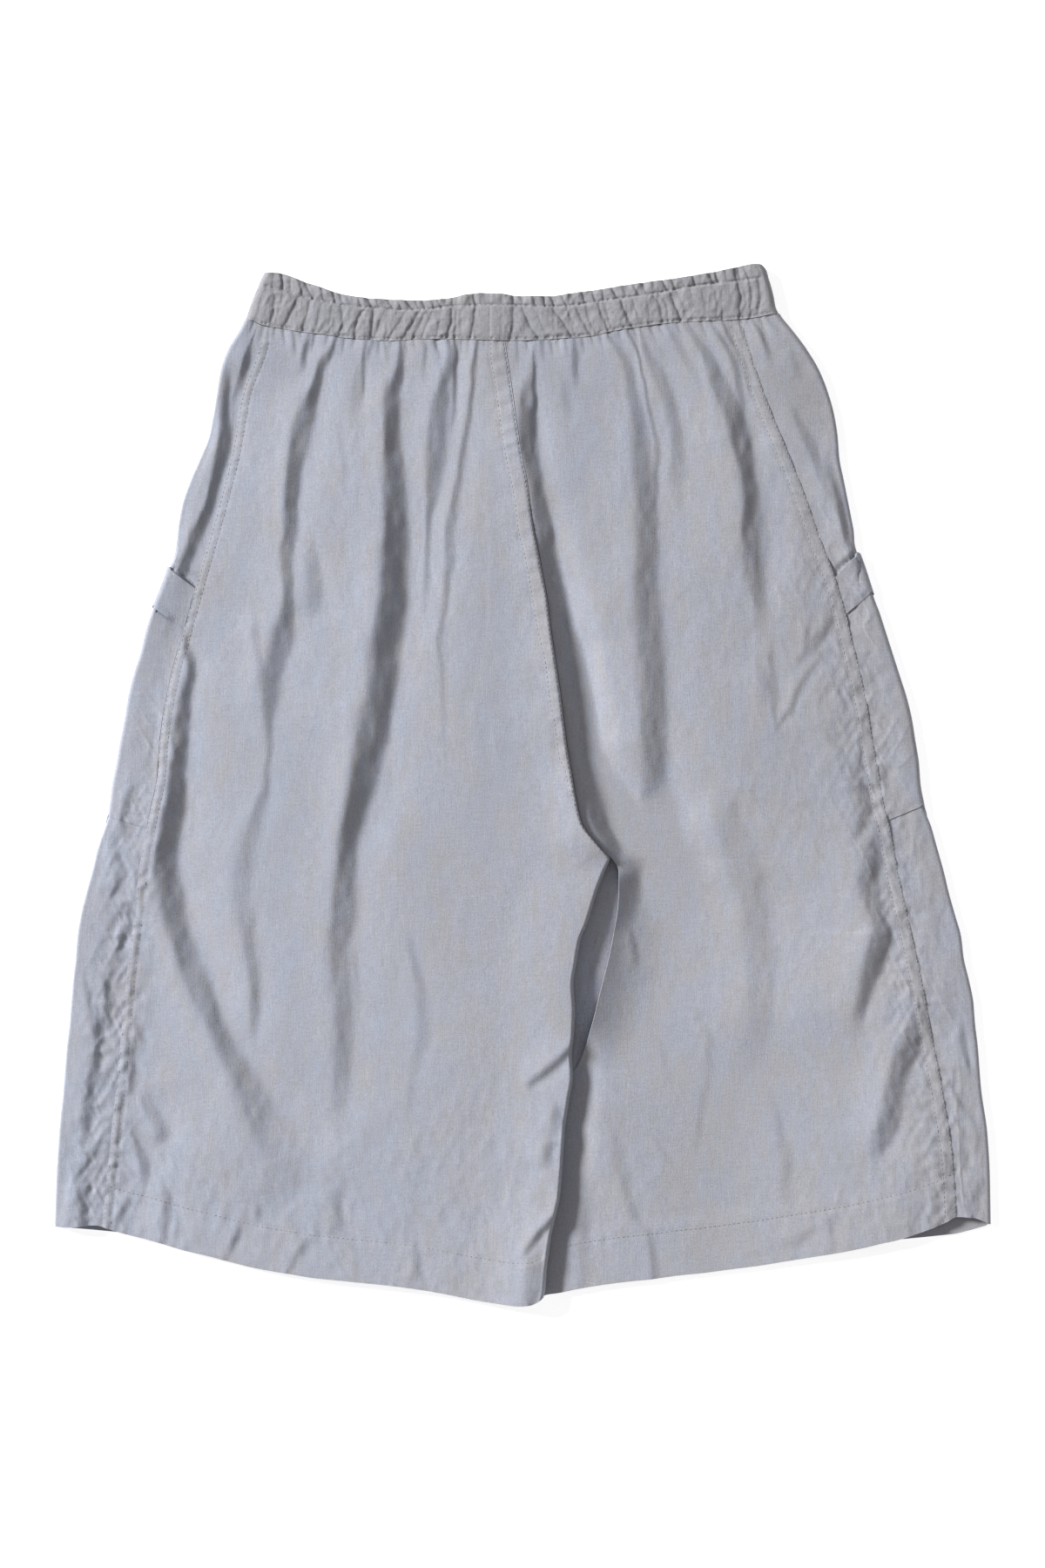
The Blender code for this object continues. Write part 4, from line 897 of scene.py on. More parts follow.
def back_left_height(u, v):
    z = sample(UPPER, u, v)
    z = z + strip_relief(u - left_seam(v), v, *STRIPS["left"], 21, 1 + 0.9 * smooth(v, 780, 900))
    wide = inner_above(v) - centre_seam(v)
    z = z + strip_relief(u - centre_seam(v), v, 0.0, wide - 1.5, 22) * smooth(v, 975, 930)
    z = z + hem_relief(u, v, "left")
    inward = left_inner(v) - u
    z = z + (1.6 * smooth(inward, 250, 5) + 3.0 * smooth(inward, 95, 4)) * smooth(v, 930, 1040)
    below = smooth(v, CROTCH_V - 2, CROTCH_V + 26)
    hem = hem_zone(u, v, "left", upper_hem)
    foot = LEG_FLOOR + 2.6 * lapped(v) + hem * (0.8 + 0.8 * lapped(v))
    z = z + (turned_down(z, inward, z - valley_depth(v), 3.0) - z) * (1 - below)
    z = z + (turned_down(z, inward, foot, 4.5) - z) * below
    return above(z, LEG_FLOOR)


def back_right_height(u, v):
    z = sample(UPPER, u, v)
    z = z + strip_relief(right_seam(v) - u, v, *STRIPS["right"], 23)
    z = z + hem_relief(u, v, "right")
    # The valley along the centre seam, and the shallower fall beyond it above the crotch.
    beside = u - left_inner(v)
    wide = valley_width(v)
    close = smooth(beside, wide + 44, wide - 3)
    far = (smooth(beside, wide + 180, wide - 3) - close) * smooth(v, 800, 930) * smooth(v, 1130, 985)
    z = z - valley_depth(v) * close - (5.2 + 2.4 * smooth(v, 890, 960)) * far
    # The fall away from the raised rim, and the rim's own lift beside the opening between the legs.
    inward = u - right_inner(v)
    rim = smooth(v, CROTCH_V - 4, CROTCH_V + 22) * gap_open(v)
    fall = smooth(v, 850, 1050) * smooth(v, 1275, 1190)
    wide = fall_width(v)
    drop = 0.27 * SQUARE * wide / 2
    near = (1 - np.clip(inward / wide, 0, 1)) ** 2
    z = z + fall * drop * (near - 1 + smooth(inward, wide + 10, wide + 260))
    z = z + 0.5 * drop * near * smooth(v, 965, 1050) * gap_open(v)
    # What sinks to lie under the left leg.
    hem = hem_zone(u, v, "right", upper_hem)
    rise = 0.55 * smooth(beside, 0, 40) - 0.30 * smooth(beside, 42, 200) + 0.75 * smooth(beside, 190, 430)
    sunk = smooth(v, 1150, 1236) * (1 - rise)
    z = z - (z - LEG_FLOOR - 0.8 * hem) * sunk
    z = z - (z - 3.0) * smooth(inward, 1.6, 0) * rim
    return above(z, RIM_FLOOR)


def pocket_lines(side):
    """A pocket's mouth, its band's foot and its base, each as v at a turn."""
    return [lambda turn, rows=rows: np.interp(turn, POCKET_TURNS, rows) for rows in POCKETS[side].values()]


def stack(side, turn, v):
    """Room for the pocket and its band, with a ramp past each of their edges."""
    mouth, band, base = (at(turn) for at in pocket_lines(side))
    begin = smooth(v, mouth - 28, mouth - 5)
    return LIFT * begin * (smooth(v, base + 28, base + 5) + smooth(v, band + 28, band + 5))


def front_seam(v, side):
    wrap = 151 + 66 * smooth(v, 366, 686)
    return EDGES[side](v) - FACES[side] * wrap


def front_inner(v, side):
    """Inner edge of a front panel: halfway between the back panels', then under its own leg's."""
    left, right = left_inner(v), right_inner(v)
    apart = smooth(v, 1246, 1267)
    own = left if side == "left" else right
    return (left + right) / 2 * (1 - apart) + own * apart + FACES[side] * HALF_SLIT


def side_points(side, turn, v, field):
    """Outer face of a side panel: u, v and height. A turn of -1 to 0 lies under the back panel's edge, 0 to 1
    runs from the back seam to the outer fold, 1 to 2 round the fold, and 2 to 3 back underneath to the front
    seam."""
    sign = FACES[side]
    seam = SEAMS[side](v)
    inner = front_seam(v, side) + sign * FRONT_GAP
    edge = EDGES[side](v) - sign * 0.8 * stack(side, np.full_like(v, 1.2), v) / SQUARE
    bend = edge - sign * (FOLD_REACH[side] + 3.2 * smooth(v, 470, 385))
    crest = above(sample(UPPER, bend, v), 3.4)
    lift = stack(side, turn, v) * smooth(turn, 1.1, 1.9)
    top_u = seam + (bend - seam) * np.clip(turn, 0, 1) + sign * 6 * np.minimum(turn, 0)
    out = sign * (top_u - seam)
    dip = (0.42 + 0.8 * stack(side, np.zeros_like(v), v)) * smooth(out, 34, -2)
    z_top = above(sample(field, top_u, v), 3.2) + hem_relief(top_u, v, side) * smooth(turn, 1, 0.8) - dip
    angle = np.pi * np.clip(turn - 1, 0, 1)
    z = np.where(turn <= 1, z_top, crest / 2 * (1 + np.cos(angle)) + lift)
    u_fold = bend + (edge - bend) * np.sin(angle)
    u_under = bend + (inner - bend) * np.clip(turn - 2, 0, 1)
    u = np.where(turn <= 1, top_u, np.where(turn < 2, u_fold, u_under))
    return u, v, z


def side_grid(side, turns, first_v, last_v, rows, field):
    """World points of part of a side panel, between two lines of v given at each turn."""
    columns = []
    for turn in turns:
        v = first_v(turn) + (last_v(turn) - first_v(turn)) * rows
        columns.append(to_world(*side_points(side, np.full(len(rows), turn), v, field)))
    grid = np.array(columns).transpose(1, 0, 2)
    return grid[:, ::-1] if side == "left" else grid


def side_end(side, line_v, other_v=None):
    """v where a side panel meets a line across the plan, at a turn, or another line underneath."""

    def at(turn):
        v = 1400.0
        for _ in range(14):
            u = float(side_points(side, np.array([turn]), np.array([v]), UPPER)[0][0])
            v = float(line_v(u))
            if other_v is not None:
                v += (float(other_v(u)) - v) * float(smooth(turn, 1, 2))
        return v

    return at


def front_height(u, v, side):
    """Outer face of a front panel, which looks down: flat on the surface but for its seam over the pocket,
    its creases in the opening between the legs, and where the left leg laps the right one."""
    inward = np.abs(u - front_seam(v, side))
    z = stack(side, 3, v) * (1 - smooth(inward, 5, 43))
    z = z + 0.22 * (1 + noise(u, v, 31, 34, 60)) * smooth(inward, 0, 12)
    gap = smooth(v, 1000, 1020) * smooth(v, 1160, 1120) * smooth(np.abs(u - front_inner(v, side)), 34, 8)
    z = z + gap * (0.3 + 1.3 * np.abs(noise(u + 0.4 * v, v, 32, 5, 12)))
    if side == "right":
        return z + gap * smooth(u - front_inner(v, side), 0, 14) * smooth(u - right_inner(v), 22, 4)
    hem = hem_zone(u, v, "left", lower_hem)
    return z + (2.7 + 0.8 * hem) * lapped(v) * smooth(u - right_inner(v), -34, -8)


# ---------------------------------------------------------------------------------------------------------
# Materials


def new_material(name):
    """A material, its shader, and functions that add a node and a link to it."""
    material = bpy.data.materials.new(name)
    material.use_nodes = True
    tree = material.node_tree

    def node(kind, settings=(), **values):
        made = tree.nodes.new(kind)
        for key, value in {**values, **dict(settings)}.items():
            if key in made.inputs:
                made.inputs[key].default_value = value
            else:
                setattr(made, key, value)
        return made

    return material, tree.nodes["Principled BSDF"], node, tree.links.new


def linen(name, pale, warm):
    """Woven linen: two-tone yarns in long soft streaks, slubs both ways, and a plain weave's relief. The
    wear_and_shade attribute greys the cloth where it is above 0, for rubbed wear. Far below 0 it is painted
    shade: it darkens the cloth for the deep shade between the legs and under the left mouth band."""
    material, shader, node, link = new_material(name)
    coordinates = node("ShaderNodeTexCoord").outputs["Object"]

    def streaks(x, y, detail, seed, low, high):
        """Noise with about x and y blobs to a millimetre, whose span from low to high becomes 0 to 1."""
        place = (seed, seed * 0.7, seed * 0.3)
        scale = node("ShaderNodeMapping", Scale=(x * 1000, y * 1000, 400), Location=place)
        link(coordinates, scale.inputs["Vector"])
        made = node("ShaderNodeTexNoise", Scale=1.0, Detail=detail, Roughness=0.62)
        link(scale.outputs["Vector"], made.inputs["Vector"])
        contrast = node("ShaderNodeMapRange", {"From Min": low, "From Max": high}, clamp=True)
        link(made.outputs["Fac"], contrast.inputs["Value"])
        return contrast.outputs["Result"]

    def calculate(operation, *terms):
        made = node("ShaderNodeMath", operation=operation)
        for k, value in enumerate(terms):
            if isinstance(value, (int, float)):
                made.inputs[k].default_value = value
            else:
                link(value, made.inputs[k])
        return made.outputs[0]

    def swing(base, streak, amount):
        """The base, higher or lower by up to half the amount with a streak."""
        return calculate("MULTIPLY_ADD", calculate("SUBTRACT", streak, 0.5), amount, base)

    cloud = streaks(0.085, 0.030, 4.0, 3.0, 0.36, 0.64)
    broad = streaks(0.016, 0.010, 2.0, 9.0, 0.35, 0.65)
    warp = streaks(1.55, 0.11, 3.0, 17.0, 0.30, 0.70)
    weft = streaks(0.14, 1.55, 3.0, 29.0, 0.30, 0.70)
    grain = streaks(1.1, 0.9, 2.0, 41.0, 0.25, 0.75)
    worn_and_shaded = node("ShaderNodeAttribute", attribute_name="wear_and_shade", attribute_type="GEOMETRY").outputs["Fac"]
    place = node("ShaderNodeSeparateXYZ")
    link(coordinates, place.inputs[0])

    share = calculate("MULTIPLY_ADD", cloud, 0.62, calculate("MULTIPLY", broad, 0.38))
    share = calculate("SUBTRACT", swing(share, warp, 0.55), calculate("MULTIPLY", worn_and_shaded, 0.55))
    # The mix leans to the pale, bluer yarn towards the left.
    share = calculate("MULTIPLY_ADD", place.outputs["X"], -0.8, share)
    mix = node("ShaderNodeMix", data_type="RGBA", clamp_factor=True)
    link(share, mix.inputs["Factor"])
    mix.inputs["A"].default_value = (*warm, 1)
    mix.inputs["B"].default_value = (*pale, 1)

    light = swing(swing(swing(1.0, warp, 0.11), weft, 0.10), grain, 0.27)
    # the attribute's size darkens the cloth: a little for wear, and much more for the painted shade
    light = calculate("SUBTRACT", light, calculate("MULTIPLY", calculate("ABSOLUTE", worn_and_shaded), 0.05))
    # Painted light: the cloth is made lighter towards the hems and darker towards the waistband, for the
    # light's fall-off across it.
    light = calculate("MULTIPLY_ADD", place.outputs["Y"], -0.22, light)
    tint = node("ShaderNodeVectorMath", operation="SCALE")
    link(mix.outputs["Result"], tint.inputs[0])
    link(light, tint.inputs["Scale"])
    link(tint.outputs["Vector"], shader.inputs["Base Color"])

    def ribs(direction):
        scale = node("ShaderNodeMapping", Scale=(1000, 1000, 1000))
        link(coordinates, scale.inputs["Vector"])
        made = node("ShaderNodeTexWave", {"Detail Scale": 0.5}, Scale=0.56, Distortion=0.9, Detail=1.0,
                    wave_type="BANDS", bands_direction=direction)
        link(scale.outputs["Vector"], made.inputs["Vector"])
        return made.outputs["Fac"]

    weave = calculate("MULTIPLY", ribs("X"), ribs("Y"))
    relief = calculate("MULTIPLY_ADD", weave, 0.55, calculate("MULTIPLY", warp, 0.5))
    for streak in (weft, grain):
        relief = calculate("MULTIPLY_ADD", streak, 0.5, relief)
    bump = node("ShaderNodeBump", Strength=0.55, Distance=0.00022)
    link(relief, bump.inputs["Height"])
    link(bump.outputs["Normal"], shader.inputs["Normal"])

    surface = {"Roughness": 0.92, "Specular IOR Level": 0.18, "Sheen Weight": 0.06, "Sheen Roughness": 0.55}
    for key, value in surface.items():
        shader.inputs[key].default_value = value
    return material


def thread_material():
    """Twisted sewing thread."""
    material, shader, node, link = new_material("sewing_thread")
    coordinates = node("ShaderNodeTexCoord")
    twist = node("ShaderNodeTexNoise", Scale=900.0, Detail=1.0)
    ramp = node("ShaderNodeValToRGB")
    for stop, place, key in zip(ramp.color_ramp.elements, (0.3, 0.7), ("thread_dark", "thread")):
        stop.position, stop.color = place, (*LINEN[key], 1)
    link(coordinates.outputs["Object"], twist.inputs["Vector"])
    link(twist.outputs["Fac"], ramp.inputs["Fac"])
    link(ramp.outputs["Color"], shader.inputs["Base Color"])
    shader.inputs["Roughness"].default_value = 0.7
    return material


# ---------------------------------------------------------------------------------------------------------
# Pieces


def finish_piece(piece, node):
    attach(piece, "root")
    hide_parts(node)
    return piece


def back_wall(u, v, side):
    """Thickness of a back panel: thin where it lies on the side panel, thicker at the hem."""
    out = -FACES[side] * (u - SEAMS[side](v))
    return CLOTH * smooth(out, -6, 7) + HEM_CLOTH * hem_zone(u, v, side, upper_hem)


def back_wear(u, v, side):
    """Rubbed, greyer cloth along the seams and the hem's edge."""
    hem = smooth(upper_hem(u) - v, 4, 0)
    stitch = bell(upper_hem(u) - v - HEM_DEPTH[side], 3) * 0.5
    if side == "left":
        strip = 0.35 * smooth(u, left_seam(v) + 12, left_seam(v) + 8)
        centre = smooth(u, centre_seam(v) - 1, centre_seam(v) + 1) * smooth(v, 990, 975) * smooth(v, 480, 700)
        return np.maximum.reduce([hem * 0.5, stitch * 0.5, strip, centre * 0.8])
    strip = 0.4 * smooth(u, right_seam(v) - 16, right_seam(v) - 13)
    return np.maximum.reduce([hem * 0.5, stitch * 0.5, strip])


def build_backs(material):
    """The two upper panels."""
    rows = np.linspace(0, 1, PANEL_ROWS)
    turned = 1 - RIM_SHARE + RIM_SHARE * np.sin(RIM_TURNS)[1:]
    columns = np.concatenate([np.linspace(0, 1 - RIM_SHARE, PANEL_COLUMNS), turned])
    u, v = panel(lambda v: left_seam(v) + SEAM_GAP, left_inner, panel_top, upper_hem, columns, rows)
    grid = to_world(u, v, back_left_height(u, v))
    wall, wear_and_shade = back_wall(u, v, "left"), back_wear(u, v, "left")
    left = add_shell("back_panel_left", grid, material, wall, wear_and_shade=wear_and_shade)

    turned = RIM_SHARE * (1 - np.cos(RIM_TURNS))
    columns = np.concatenate([turned, np.linspace(RIM_SHARE, 1, PANEL_COLUMNS)[1:]])
    u, v = panel(right_inner, lambda v: right_seam(v) - SEAM_GAP, panel_top, upper_hem, columns, rows)
    close = len(RIM_COLUMNS)
    u[:, :close] = right_inner(v[:, :close]) + RIM_COLUMNS
    inward = u - right_inner(v)
    # The rim turns under beside the opening between the legs, and its wall is thin there.
    turn = np.clip(1 - inward / 1.7, 0, 1)
    tucked = 2.6 * smooth(turn, 0.25, 1) * smooth(v, CROTCH_V, CROTCH_V + 18) * gap_open(v)
    grid = to_world(u + tucked, v, back_right_height(u, v))
    whole = smooth(inward, 2.5, 8)
    wall, wear_and_shade = back_wall(u, v, "right") * (0.2 + 0.8 * whole), back_wear(u, v, "right")
    right = add_shell("back_panel_right", grid, material, wall, wear_and_shade=wear_and_shade, spread=0.4 * whole)
    finish_piece(left, "back_left")
    finish_piece(right, "back_right")
    return left, right


def gape(rows, turn):
    """How far a pocket's mouth stands open, over a share of the pocket's length."""
    return 0.5 * bell(rows[:, None], 0.03) * bell(turn - 0.6, 0.3)


def foot_shown(turn):
    """1 along the part of a mouth band's foot that is seen from above."""
    return smooth(turn, 0.3, 0.6) * smooth(turn, 1.3, 0.9)


def build_sides(material):
    """Side panels, and the pocket and its band lying on each."""
    made = {}
    for side in SIDES:
        left = side == "left"
        rows = np.linspace(0, 1, PANEL_ROWS)
        columns = np.concatenate([UNDERLAP, SIDE_COLUMNS])
        top, hem = side_end(side, panel_top), side_end(side, upper_hem, lower_hem)
        grid = side_grid(side, columns, top, hem, rows, SIDE_UPPER)
        wall = CLOTH + HEM_CLOTH * smooth(rows, 0.948, 0.962)[:, None] * np.ones(len(columns))
        made["side_" + side] = add_shell("side_panel_" + side, grid, material, wall)

        # The pocket's base is pressed down, and the left one has a painted shadow line under its band's foot.
        mouth, band, base = pocket_lines(side)
        rows = np.linspace(0, 1, POCKET_ROWS)
        turn = SIDE_COLUMNS[::-1] if left else SIDE_COLUMNS
        grid = side_grid(side, SIDE_COLUMNS, mouth, base, rows, POCKET_UPPER)
        pressed = -0.35 * smooth(rows, 0.95, 1.0)[:, None] * np.ones_like(turn)
        grid = grid + normals_of(grid) * (LIFT + gape(rows, turn) + pressed)[..., None]
        below = rows[:, None] * (base(turn) - mouth(turn)) - (band(turn) - mouth(turn))
        painted_shadow_line = (-4.0 if left else 0.0) * bell(below - 1.2, 1.5) * foot_shown(turn)
        made["pocket_" + side] = add_shell("patch_pocket_" + side, grid, material, wear_and_shade=painted_shadow_line)

        # The left band's foot stands up, and the right one's is thin and pressed down.
        rows = np.linspace(0, 1, MOUTH_ROWS)
        grid = side_grid(side, SIDE_COLUMNS, mouth, band, rows, UPPER)
        edge = (0.9 if left else -0.85) * smooth(rows, 0.8, 1.0)[:, None] * foot_shown(turn)
        grid = grid + normals_of(grid) * (2 * LIFT + gape(rows * 0.17, turn) + edge)[..., None]
        thin = (0.0 if left else 0.6) * smooth(rows, 0.7, 1.0)[:, None] * np.ones_like(turn)
        made["pocket_band_" + side] = add_shell("mouth_band_" + side, grid, material, CLOTH - thin)
    for node, piece in made.items():
        finish_piece(piece, node)
    return made


def build_fronts(material):
    """The two lower panels, with painted shade on the cloth around the opening between the legs."""
    made = []
    rows, columns = np.linspace(0, 1, FRONT_ROWS), np.linspace(0, 1, FRONT_COLUMNS)
    for side in SIDES:
        lines = [
            lambda v, side=side: front_inner(v, side),
            lambda v, side=side: front_seam(v, side) - FACES[side] * FRONT_GAP,
        ]
        first, last = lines if side == "left" else lines[::-1]
        u, v = panel(first, last, panel_top, lower_hem, columns, rows)
        grid = to_world(u, v, front_height(u, v, side))
        wall = CLOTH + HEM_CLOTH * hem_zone(u, v, side, lower_hem)
        # Painted shade: the cloth beside the opening between the legs is darkened through its attribute.
        beside = smooth(np.abs(u - front_inner(v, side)), 60, 30)
        shade = smooth(v, 985, 1000) * smooth(v, GAP_END_V, 1240) * beside
        piece = add_shell("front_panel_" + side, grid, material, wall, wear_and_shade=-6.0 * shade)
        made.append(finish_piece(piece, "front_" + side))
    return made


def band_line(share):
    """v of a row of the waistband as a function of u: 0 at the header's edge, 1 at the upper row of
    stitches, and 2 at the foot."""
    if share <= 1:
        return lambda u: band_top(u) + (band_stitch(u) - band_top(u)) * share
    return lambda u: band_stitch(u) + (band_foot(u) - band_stitch(u)) * (share - 1)


def make_band_tucks():
    """Depth of the waistband's gathers and of its header's pleats over the plan."""
    casing, header = np.zeros_like(PLAN_U), np.zeros_like(PLAN_U)
    for rows in BAND_GROOVES:
        add_tuck(casing, rows)
    for a, b, c, d, depth in HEADER_GROOVES:
        middle = ((a + c) / 2, (b + d) / 2, 3.4, depth)
        add_tuck(header, ((a, b - 3, 3.6, depth), middle, (c, d + 2, 3.2, depth * 0.8)))
    bent_u = PLAN_U + 0.9 * noise(PLAN_U, PLAN_V, 71, 7, 9)
    return sample(casing, bent_u, PLAN_V), sample(header, bent_u, PLAN_V)


def band_relief(u, v):
    """Relief of the gathered waistband over its flat form, with two smoother places and a seam in one."""
    low, mid, top = band_foot(u), band_stitch(u), band_top(u)
    from_seam = u - BAND_SEAM_U
    casing = np.clip((v - mid) / (low - mid), 0, 1)
    header = np.clip((mid - v) / (mid - top), 0, 1)
    bulge = np.sin(np.pi * casing) ** 0.45 * (v >= mid)
    lower = smooth(v, mid - 1.5, mid + 1.5)
    grooves = sample(BAND_TUCKS[0], u, v) * lower + sample(BAND_TUCKS[1], u, v) * (1 - lower)
    flat = np.exp(-((from_seam / 14) ** 4)) + np.exp(-(((u - BAND_FLAT_U) / 6) ** 4))
    coarse, small = facets(u, v, (0.5, 41, 11, 15), (0, 42, 6, 9))
    fine = -0.6 * (coarse + 0.5 * small - 0.5) + 0.1 * noise(u, v, 47, 3, 4)
    fine = fine + 0.3 * noise(u, v * 0.15, 45, 5, 9) * smooth(header, 0, 0.6)
    z = 0.75 * bulge + 0.3 * np.sin(np.pi * header) + grooves * 1.2 + fine * (1 - 0.7 * flat)
    pinch = 0.45 * noise(u, v * 0, 46, 3.6, 9)
    stitched = bell(v - mid, 1.5) * (0.6 + pinch) + bell(v - low + FOOT_STITCH, 1.5) * (0.45 + pinch)
    ruffle = 0.9 * noise(u, v * 0, 43, 9, 9) * header**1.5
    seam = 0.35 * np.exp(-(((from_seam - 12) / 12) ** 6)) - 0.25 * bell(from_seam, 1.1)
    return z - stitched + ruffle + seam * (v >= top)


def band_ring(share, row_v):
    """One row of the waistband: u, v and height along its upper face, round its right fold, back along its
    lower face and round its left fold."""
    turn = np.linspace(0, np.pi, BAND_TURN + 2)[1:-1]
    ends = []
    for edge in (left_edge, right_edge):
        v = 340.0
        for _ in range(20):
            v = float(row_v(float(edge(v))))
        ends.append(float(edge(v)))
    radius = BAND_RADIUS + 0.4 * np.sin(np.pi * np.clip(share - 1, 0, 1))
    upper_u = np.linspace(ends[0] + BAND_RADIUS, ends[1] - BAND_RADIUS, BAND_UPPER)
    upper_v = row_v(upper_u)
    lower_u = np.linspace(upper_u[-1], upper_u[0], BAND_UNDER)
    lower_v = row_v(lower_u)

    def clear_of_ends(u):
        return smooth(np.minimum(u - ends[0], ends[1] - u), 2, 16)

    def fold(k, sign):
        height = BAND_CREST / 2 * (1 + sign * np.cos(turn))
        return upper_u[k] + sign * radius * np.sin(turn), np.full(BAND_TURN, upper_v[k]), height

    upper = (upper_u, upper_v, BAND_CREST + band_relief(upper_u, upper_v) * clear_of_ends(upper_u))
    ripple = 0.7 * np.abs(noise(lower_u, lower_v * 0.1, 44, 8, 9)) * clear_of_ends(lower_u)
    return np.concatenate([upper, fold(-1, 1), (lower_u, lower_v, ripple), fold(0, -1)], axis=1)


def build_band(material):
    """The waistband: a gathered ring, whose header stands above the casing."""
    header = 1 - np.cos(np.linspace(0, np.pi / 2, STITCH_ROW + 1))
    shares = np.concatenate([header, 1 + np.linspace(0, 1, BAND_ROWS - STITCH_ROW)[1:]])
    grid = np.array([to_world(*band_ring(share, band_line(float(share)))) for share in shares])
    flat = np.ones(grid.shape[1])
    wear_and_shade = np.where(shares > 0.08, 0.35, 1.0)[:, None] * flat
    wall = np.interp(shares, (0, 1, 1.2, 1.8, 2), (1.1, 1.2, 1.8, 1.8, 0.9))[:, None] * flat
    piece = add_shell("gathered_waistband", grid, material, wall, closed=True, wear_and_shade=wear_and_shade)
    return finish_piece(piece, "waistband")


def add_stitches(name, runs, material, pitch=3.1, share=0.74):
    """Short raised stitches along each run of world points: four rings of four points each."""
    points, quads, base = [], [], 0
    rng = np.random.default_rng(len(name))
    for run in runs:
        span = np.linalg.norm(np.diff(run, axis=0), axis=1)
        length = np.concatenate([[0], np.cumsum(span)])
        count = int(length[-1] / pitch)
        start = (np.arange(count) + 0.13) * length[-1] / count + rng.uniform(-0.12, 0.12, count)
        along = start[:, None] + np.array([0, 0.22, 0.78, 1.0]) * pitch * share
        spine = np.stack([np.interp(along, length, run[:, k]) for k in range(3)], -1)
        spine[..., 2] += np.array([-0.22, 0.1, 0.1, -0.22])
        heading = unit(spine[:, -1] - spine[:, 0])
        across = unit(np.cross(heading, np.array([0, 0, 1.0])))[:, None]
        rise = unit(np.cross(across[:, 0], heading))[:, None]
        size = np.array([0.13, 0.25, 0.25, 0.13])[None, :, None]
        beside, over = across * size, rise * size * 0.7
        rings = np.stack([spine + beside, spine + over, spine - beside, spine - over], 2)
        points.append(rings.reshape(-1, 3))
        for first in range(base, base + count * 16, 16):
            for ring in range(first, first + 12, 4):
                for k in range(4):
                    after = (k + 1) % 4
                    quads.append((ring + k, ring + 4 + k, ring + 4 + after, ring + after))
            quads.append((first + 3, first + 2, first + 1, first))
            quads.append((first + 12, first + 13, first + 14, first + 15))
        base += count * 16
    piece = add_mesh(name, np.concatenate(points) * 0.001, [np.array(quads)], material)
    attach(piece, "root")
    return piece


def run_down(line_u, offset, v0, v1, height):
    """World points down the plan, at an offset from a line of u."""
    v = np.linspace(v0, v1, RUN_POINTS)
    u = line_u(v) + offset
    return to_world(u, v, height(u, v))


def run_across(line_v, offset, u0, u1, height):
    """World points across the plan, at an offset from a line of v."""
    u = np.linspace(u0, u1, RUN_POINTS)
    v = line_v(u) - offset
    return to_world(u, v, height(u, v))


def band_height(u, v):
    return BAND_CREST + band_relief(u, v)


def build_stitches(thread):
    """Every visible row of stitches."""
    left, right = back_left_height, back_right_height
    made = {
        "left": add_stitches("stitches_back_left", [
            *(run_down(left_seam, offset, 392, 1405, left) for offset in STRIP_THREADS["left"]),
            run_down(centre_seam, 0.6, 392, 930, left),
            run_down(inner_above, -2.2, 392, 980, left),
            run_across(upper_hem, HEM_DEPTH["left"], 124, 622, left),
        ], thread),
        "right": add_stitches("stitches_back_right", [
            *(run_down(right_seam, offset, 372, 1398, right) for offset in STRIP_THREADS["right"]),
            run_across(upper_hem, HEM_DEPTH["right"], 652, 1092, right),
        ], thread),
        "waist": add_stitches("stitches_waistband", [
            run_across(band_stitch, 0, 304, 874, band_height),
            run_across(band_foot, FOOT_STITCH, 292, 886, band_height),
        ], thread, pitch=2.8),
    }
    return made


# ---------------------------------------------------------------------------------------------------------
# Scene


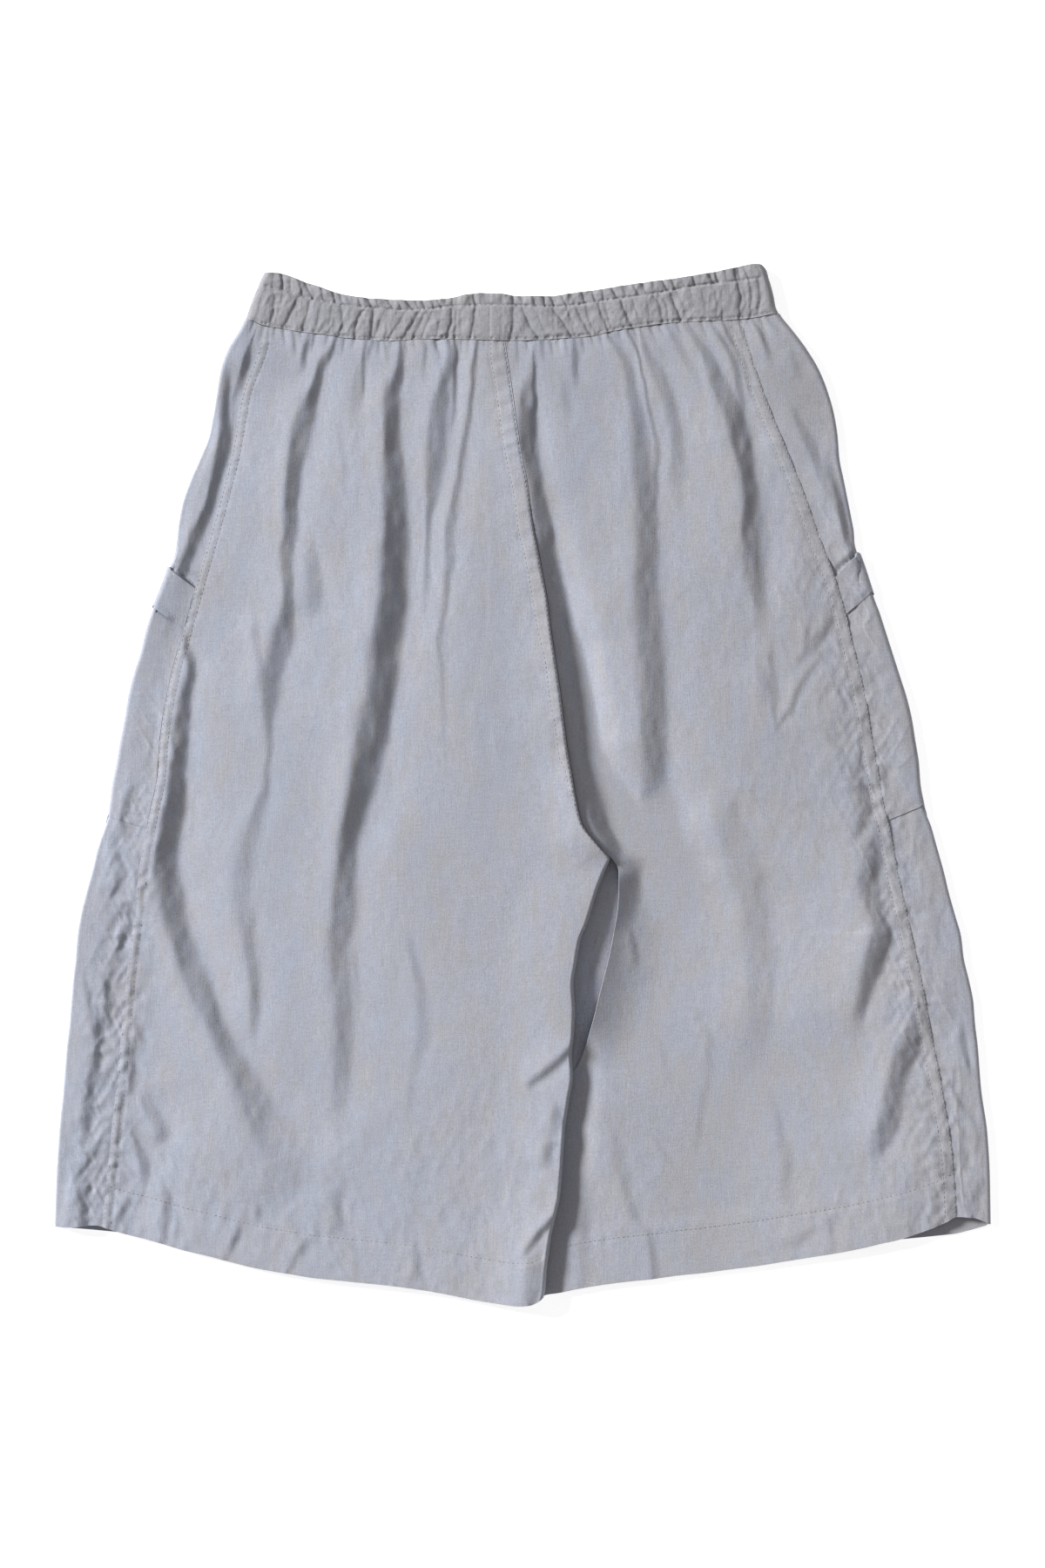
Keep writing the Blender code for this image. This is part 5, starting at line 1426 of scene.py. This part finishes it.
def build_floor():
    """A pale surface with a little glow of its own, so that it reads as white."""
    material, shader, _, _ = new_material("pale_floor")
    surface = {"Base Color": (0.92, 0.92, 0.92, 1), "Roughness": 1.0, "Specular IOR Level": 0.0,
               "Emission Color": (1, 1, 1, 1), "Emission Strength": FLOOR_GLOW}
    for key, value in surface.items():
        shader.inputs[key].default_value = value
    around = ((-1, -1), (1, -1), (1, 1), (-1, 1))
    corners = [(x * FLOOR_HALF, y * FLOOR_HALF, FLOOR_HEIGHT) for x, y in around]
    mesh = bpy.data.meshes.new("floor")
    mesh.from_pydata(corners, [], [(0, 1, 2, 3)])
    mesh.materials.append(material)
    add_object("floor", mesh)


def build_lights():
    """A big soft key from the left, low enough to rake the folds, and an even pale fill."""
    elevation, swing = math.radians(KEY_ELEVATION), math.radians(KEY_SWING)
    level = math.cos(elevation)
    toward = Vector((-level * math.cos(swing), level * math.sin(swing), math.sin(elevation)))
    lamp = bpy.data.lights.new("key", "AREA")
    lamp.shape = "DISK"
    lamp.size = KEY_SIZE
    lamp.energy = KEY_POWER
    lamp.color = (0.972, 0.986, 1.0)
    key = add_object("key", lamp)
    key.location = toward * KEY_DISTANCE
    key.rotation_euler = toward.to_track_quat("Z", "Y").to_euler()
    world = bpy.data.worlds.new("studio")
    world.use_nodes = True
    background = world.node_tree.nodes["Background"]
    background.inputs["Color"].default_value = (1.0, 0.985, 0.995, 1)
    background.inputs["Strength"].default_value = FILL
    bpy.context.scene.world = world


def build_camera():
    """A long lens straight above, with the whole plan in its view."""
    data = bpy.data.cameras.new("camera")
    data.sensor_fit = "VERTICAL"
    data.sensor_height = SENSOR
    data.lens = SENSOR * CAMERA_RANGE / PLAN_HEIGHT
    data.clip_end = 50
    camera = add_object("camera", data)
    camera.location = (0.0, 0.0, CAMERA_HEIGHT)
    bpy.context.scene.camera = camera


# Fields over the plan that the pieces' heights are read from.
UPPER = make_upper()
SIDE_UPPER = make_side()
POCKET_UPPER = make_pocket()
BAND_TUCKS = make_band_tucks()


def main():
    cloth = linen("linen_body", LINEN["pale"], LINEN["warm"])
    band_cloth = linen("linen_band", LINEN["band_pale"], LINEN["band_warm"])
    thread = thread_material()
    backs, sides, fronts = build_backs(cloth), build_sides(cloth), build_fronts(cloth)
    build_band(band_cloth)
    build_stitches(thread)
    build_floor()
    build_lights()
    build_camera()
    bpy.context.scene.view_settings.view_transform = "Standard"


main()
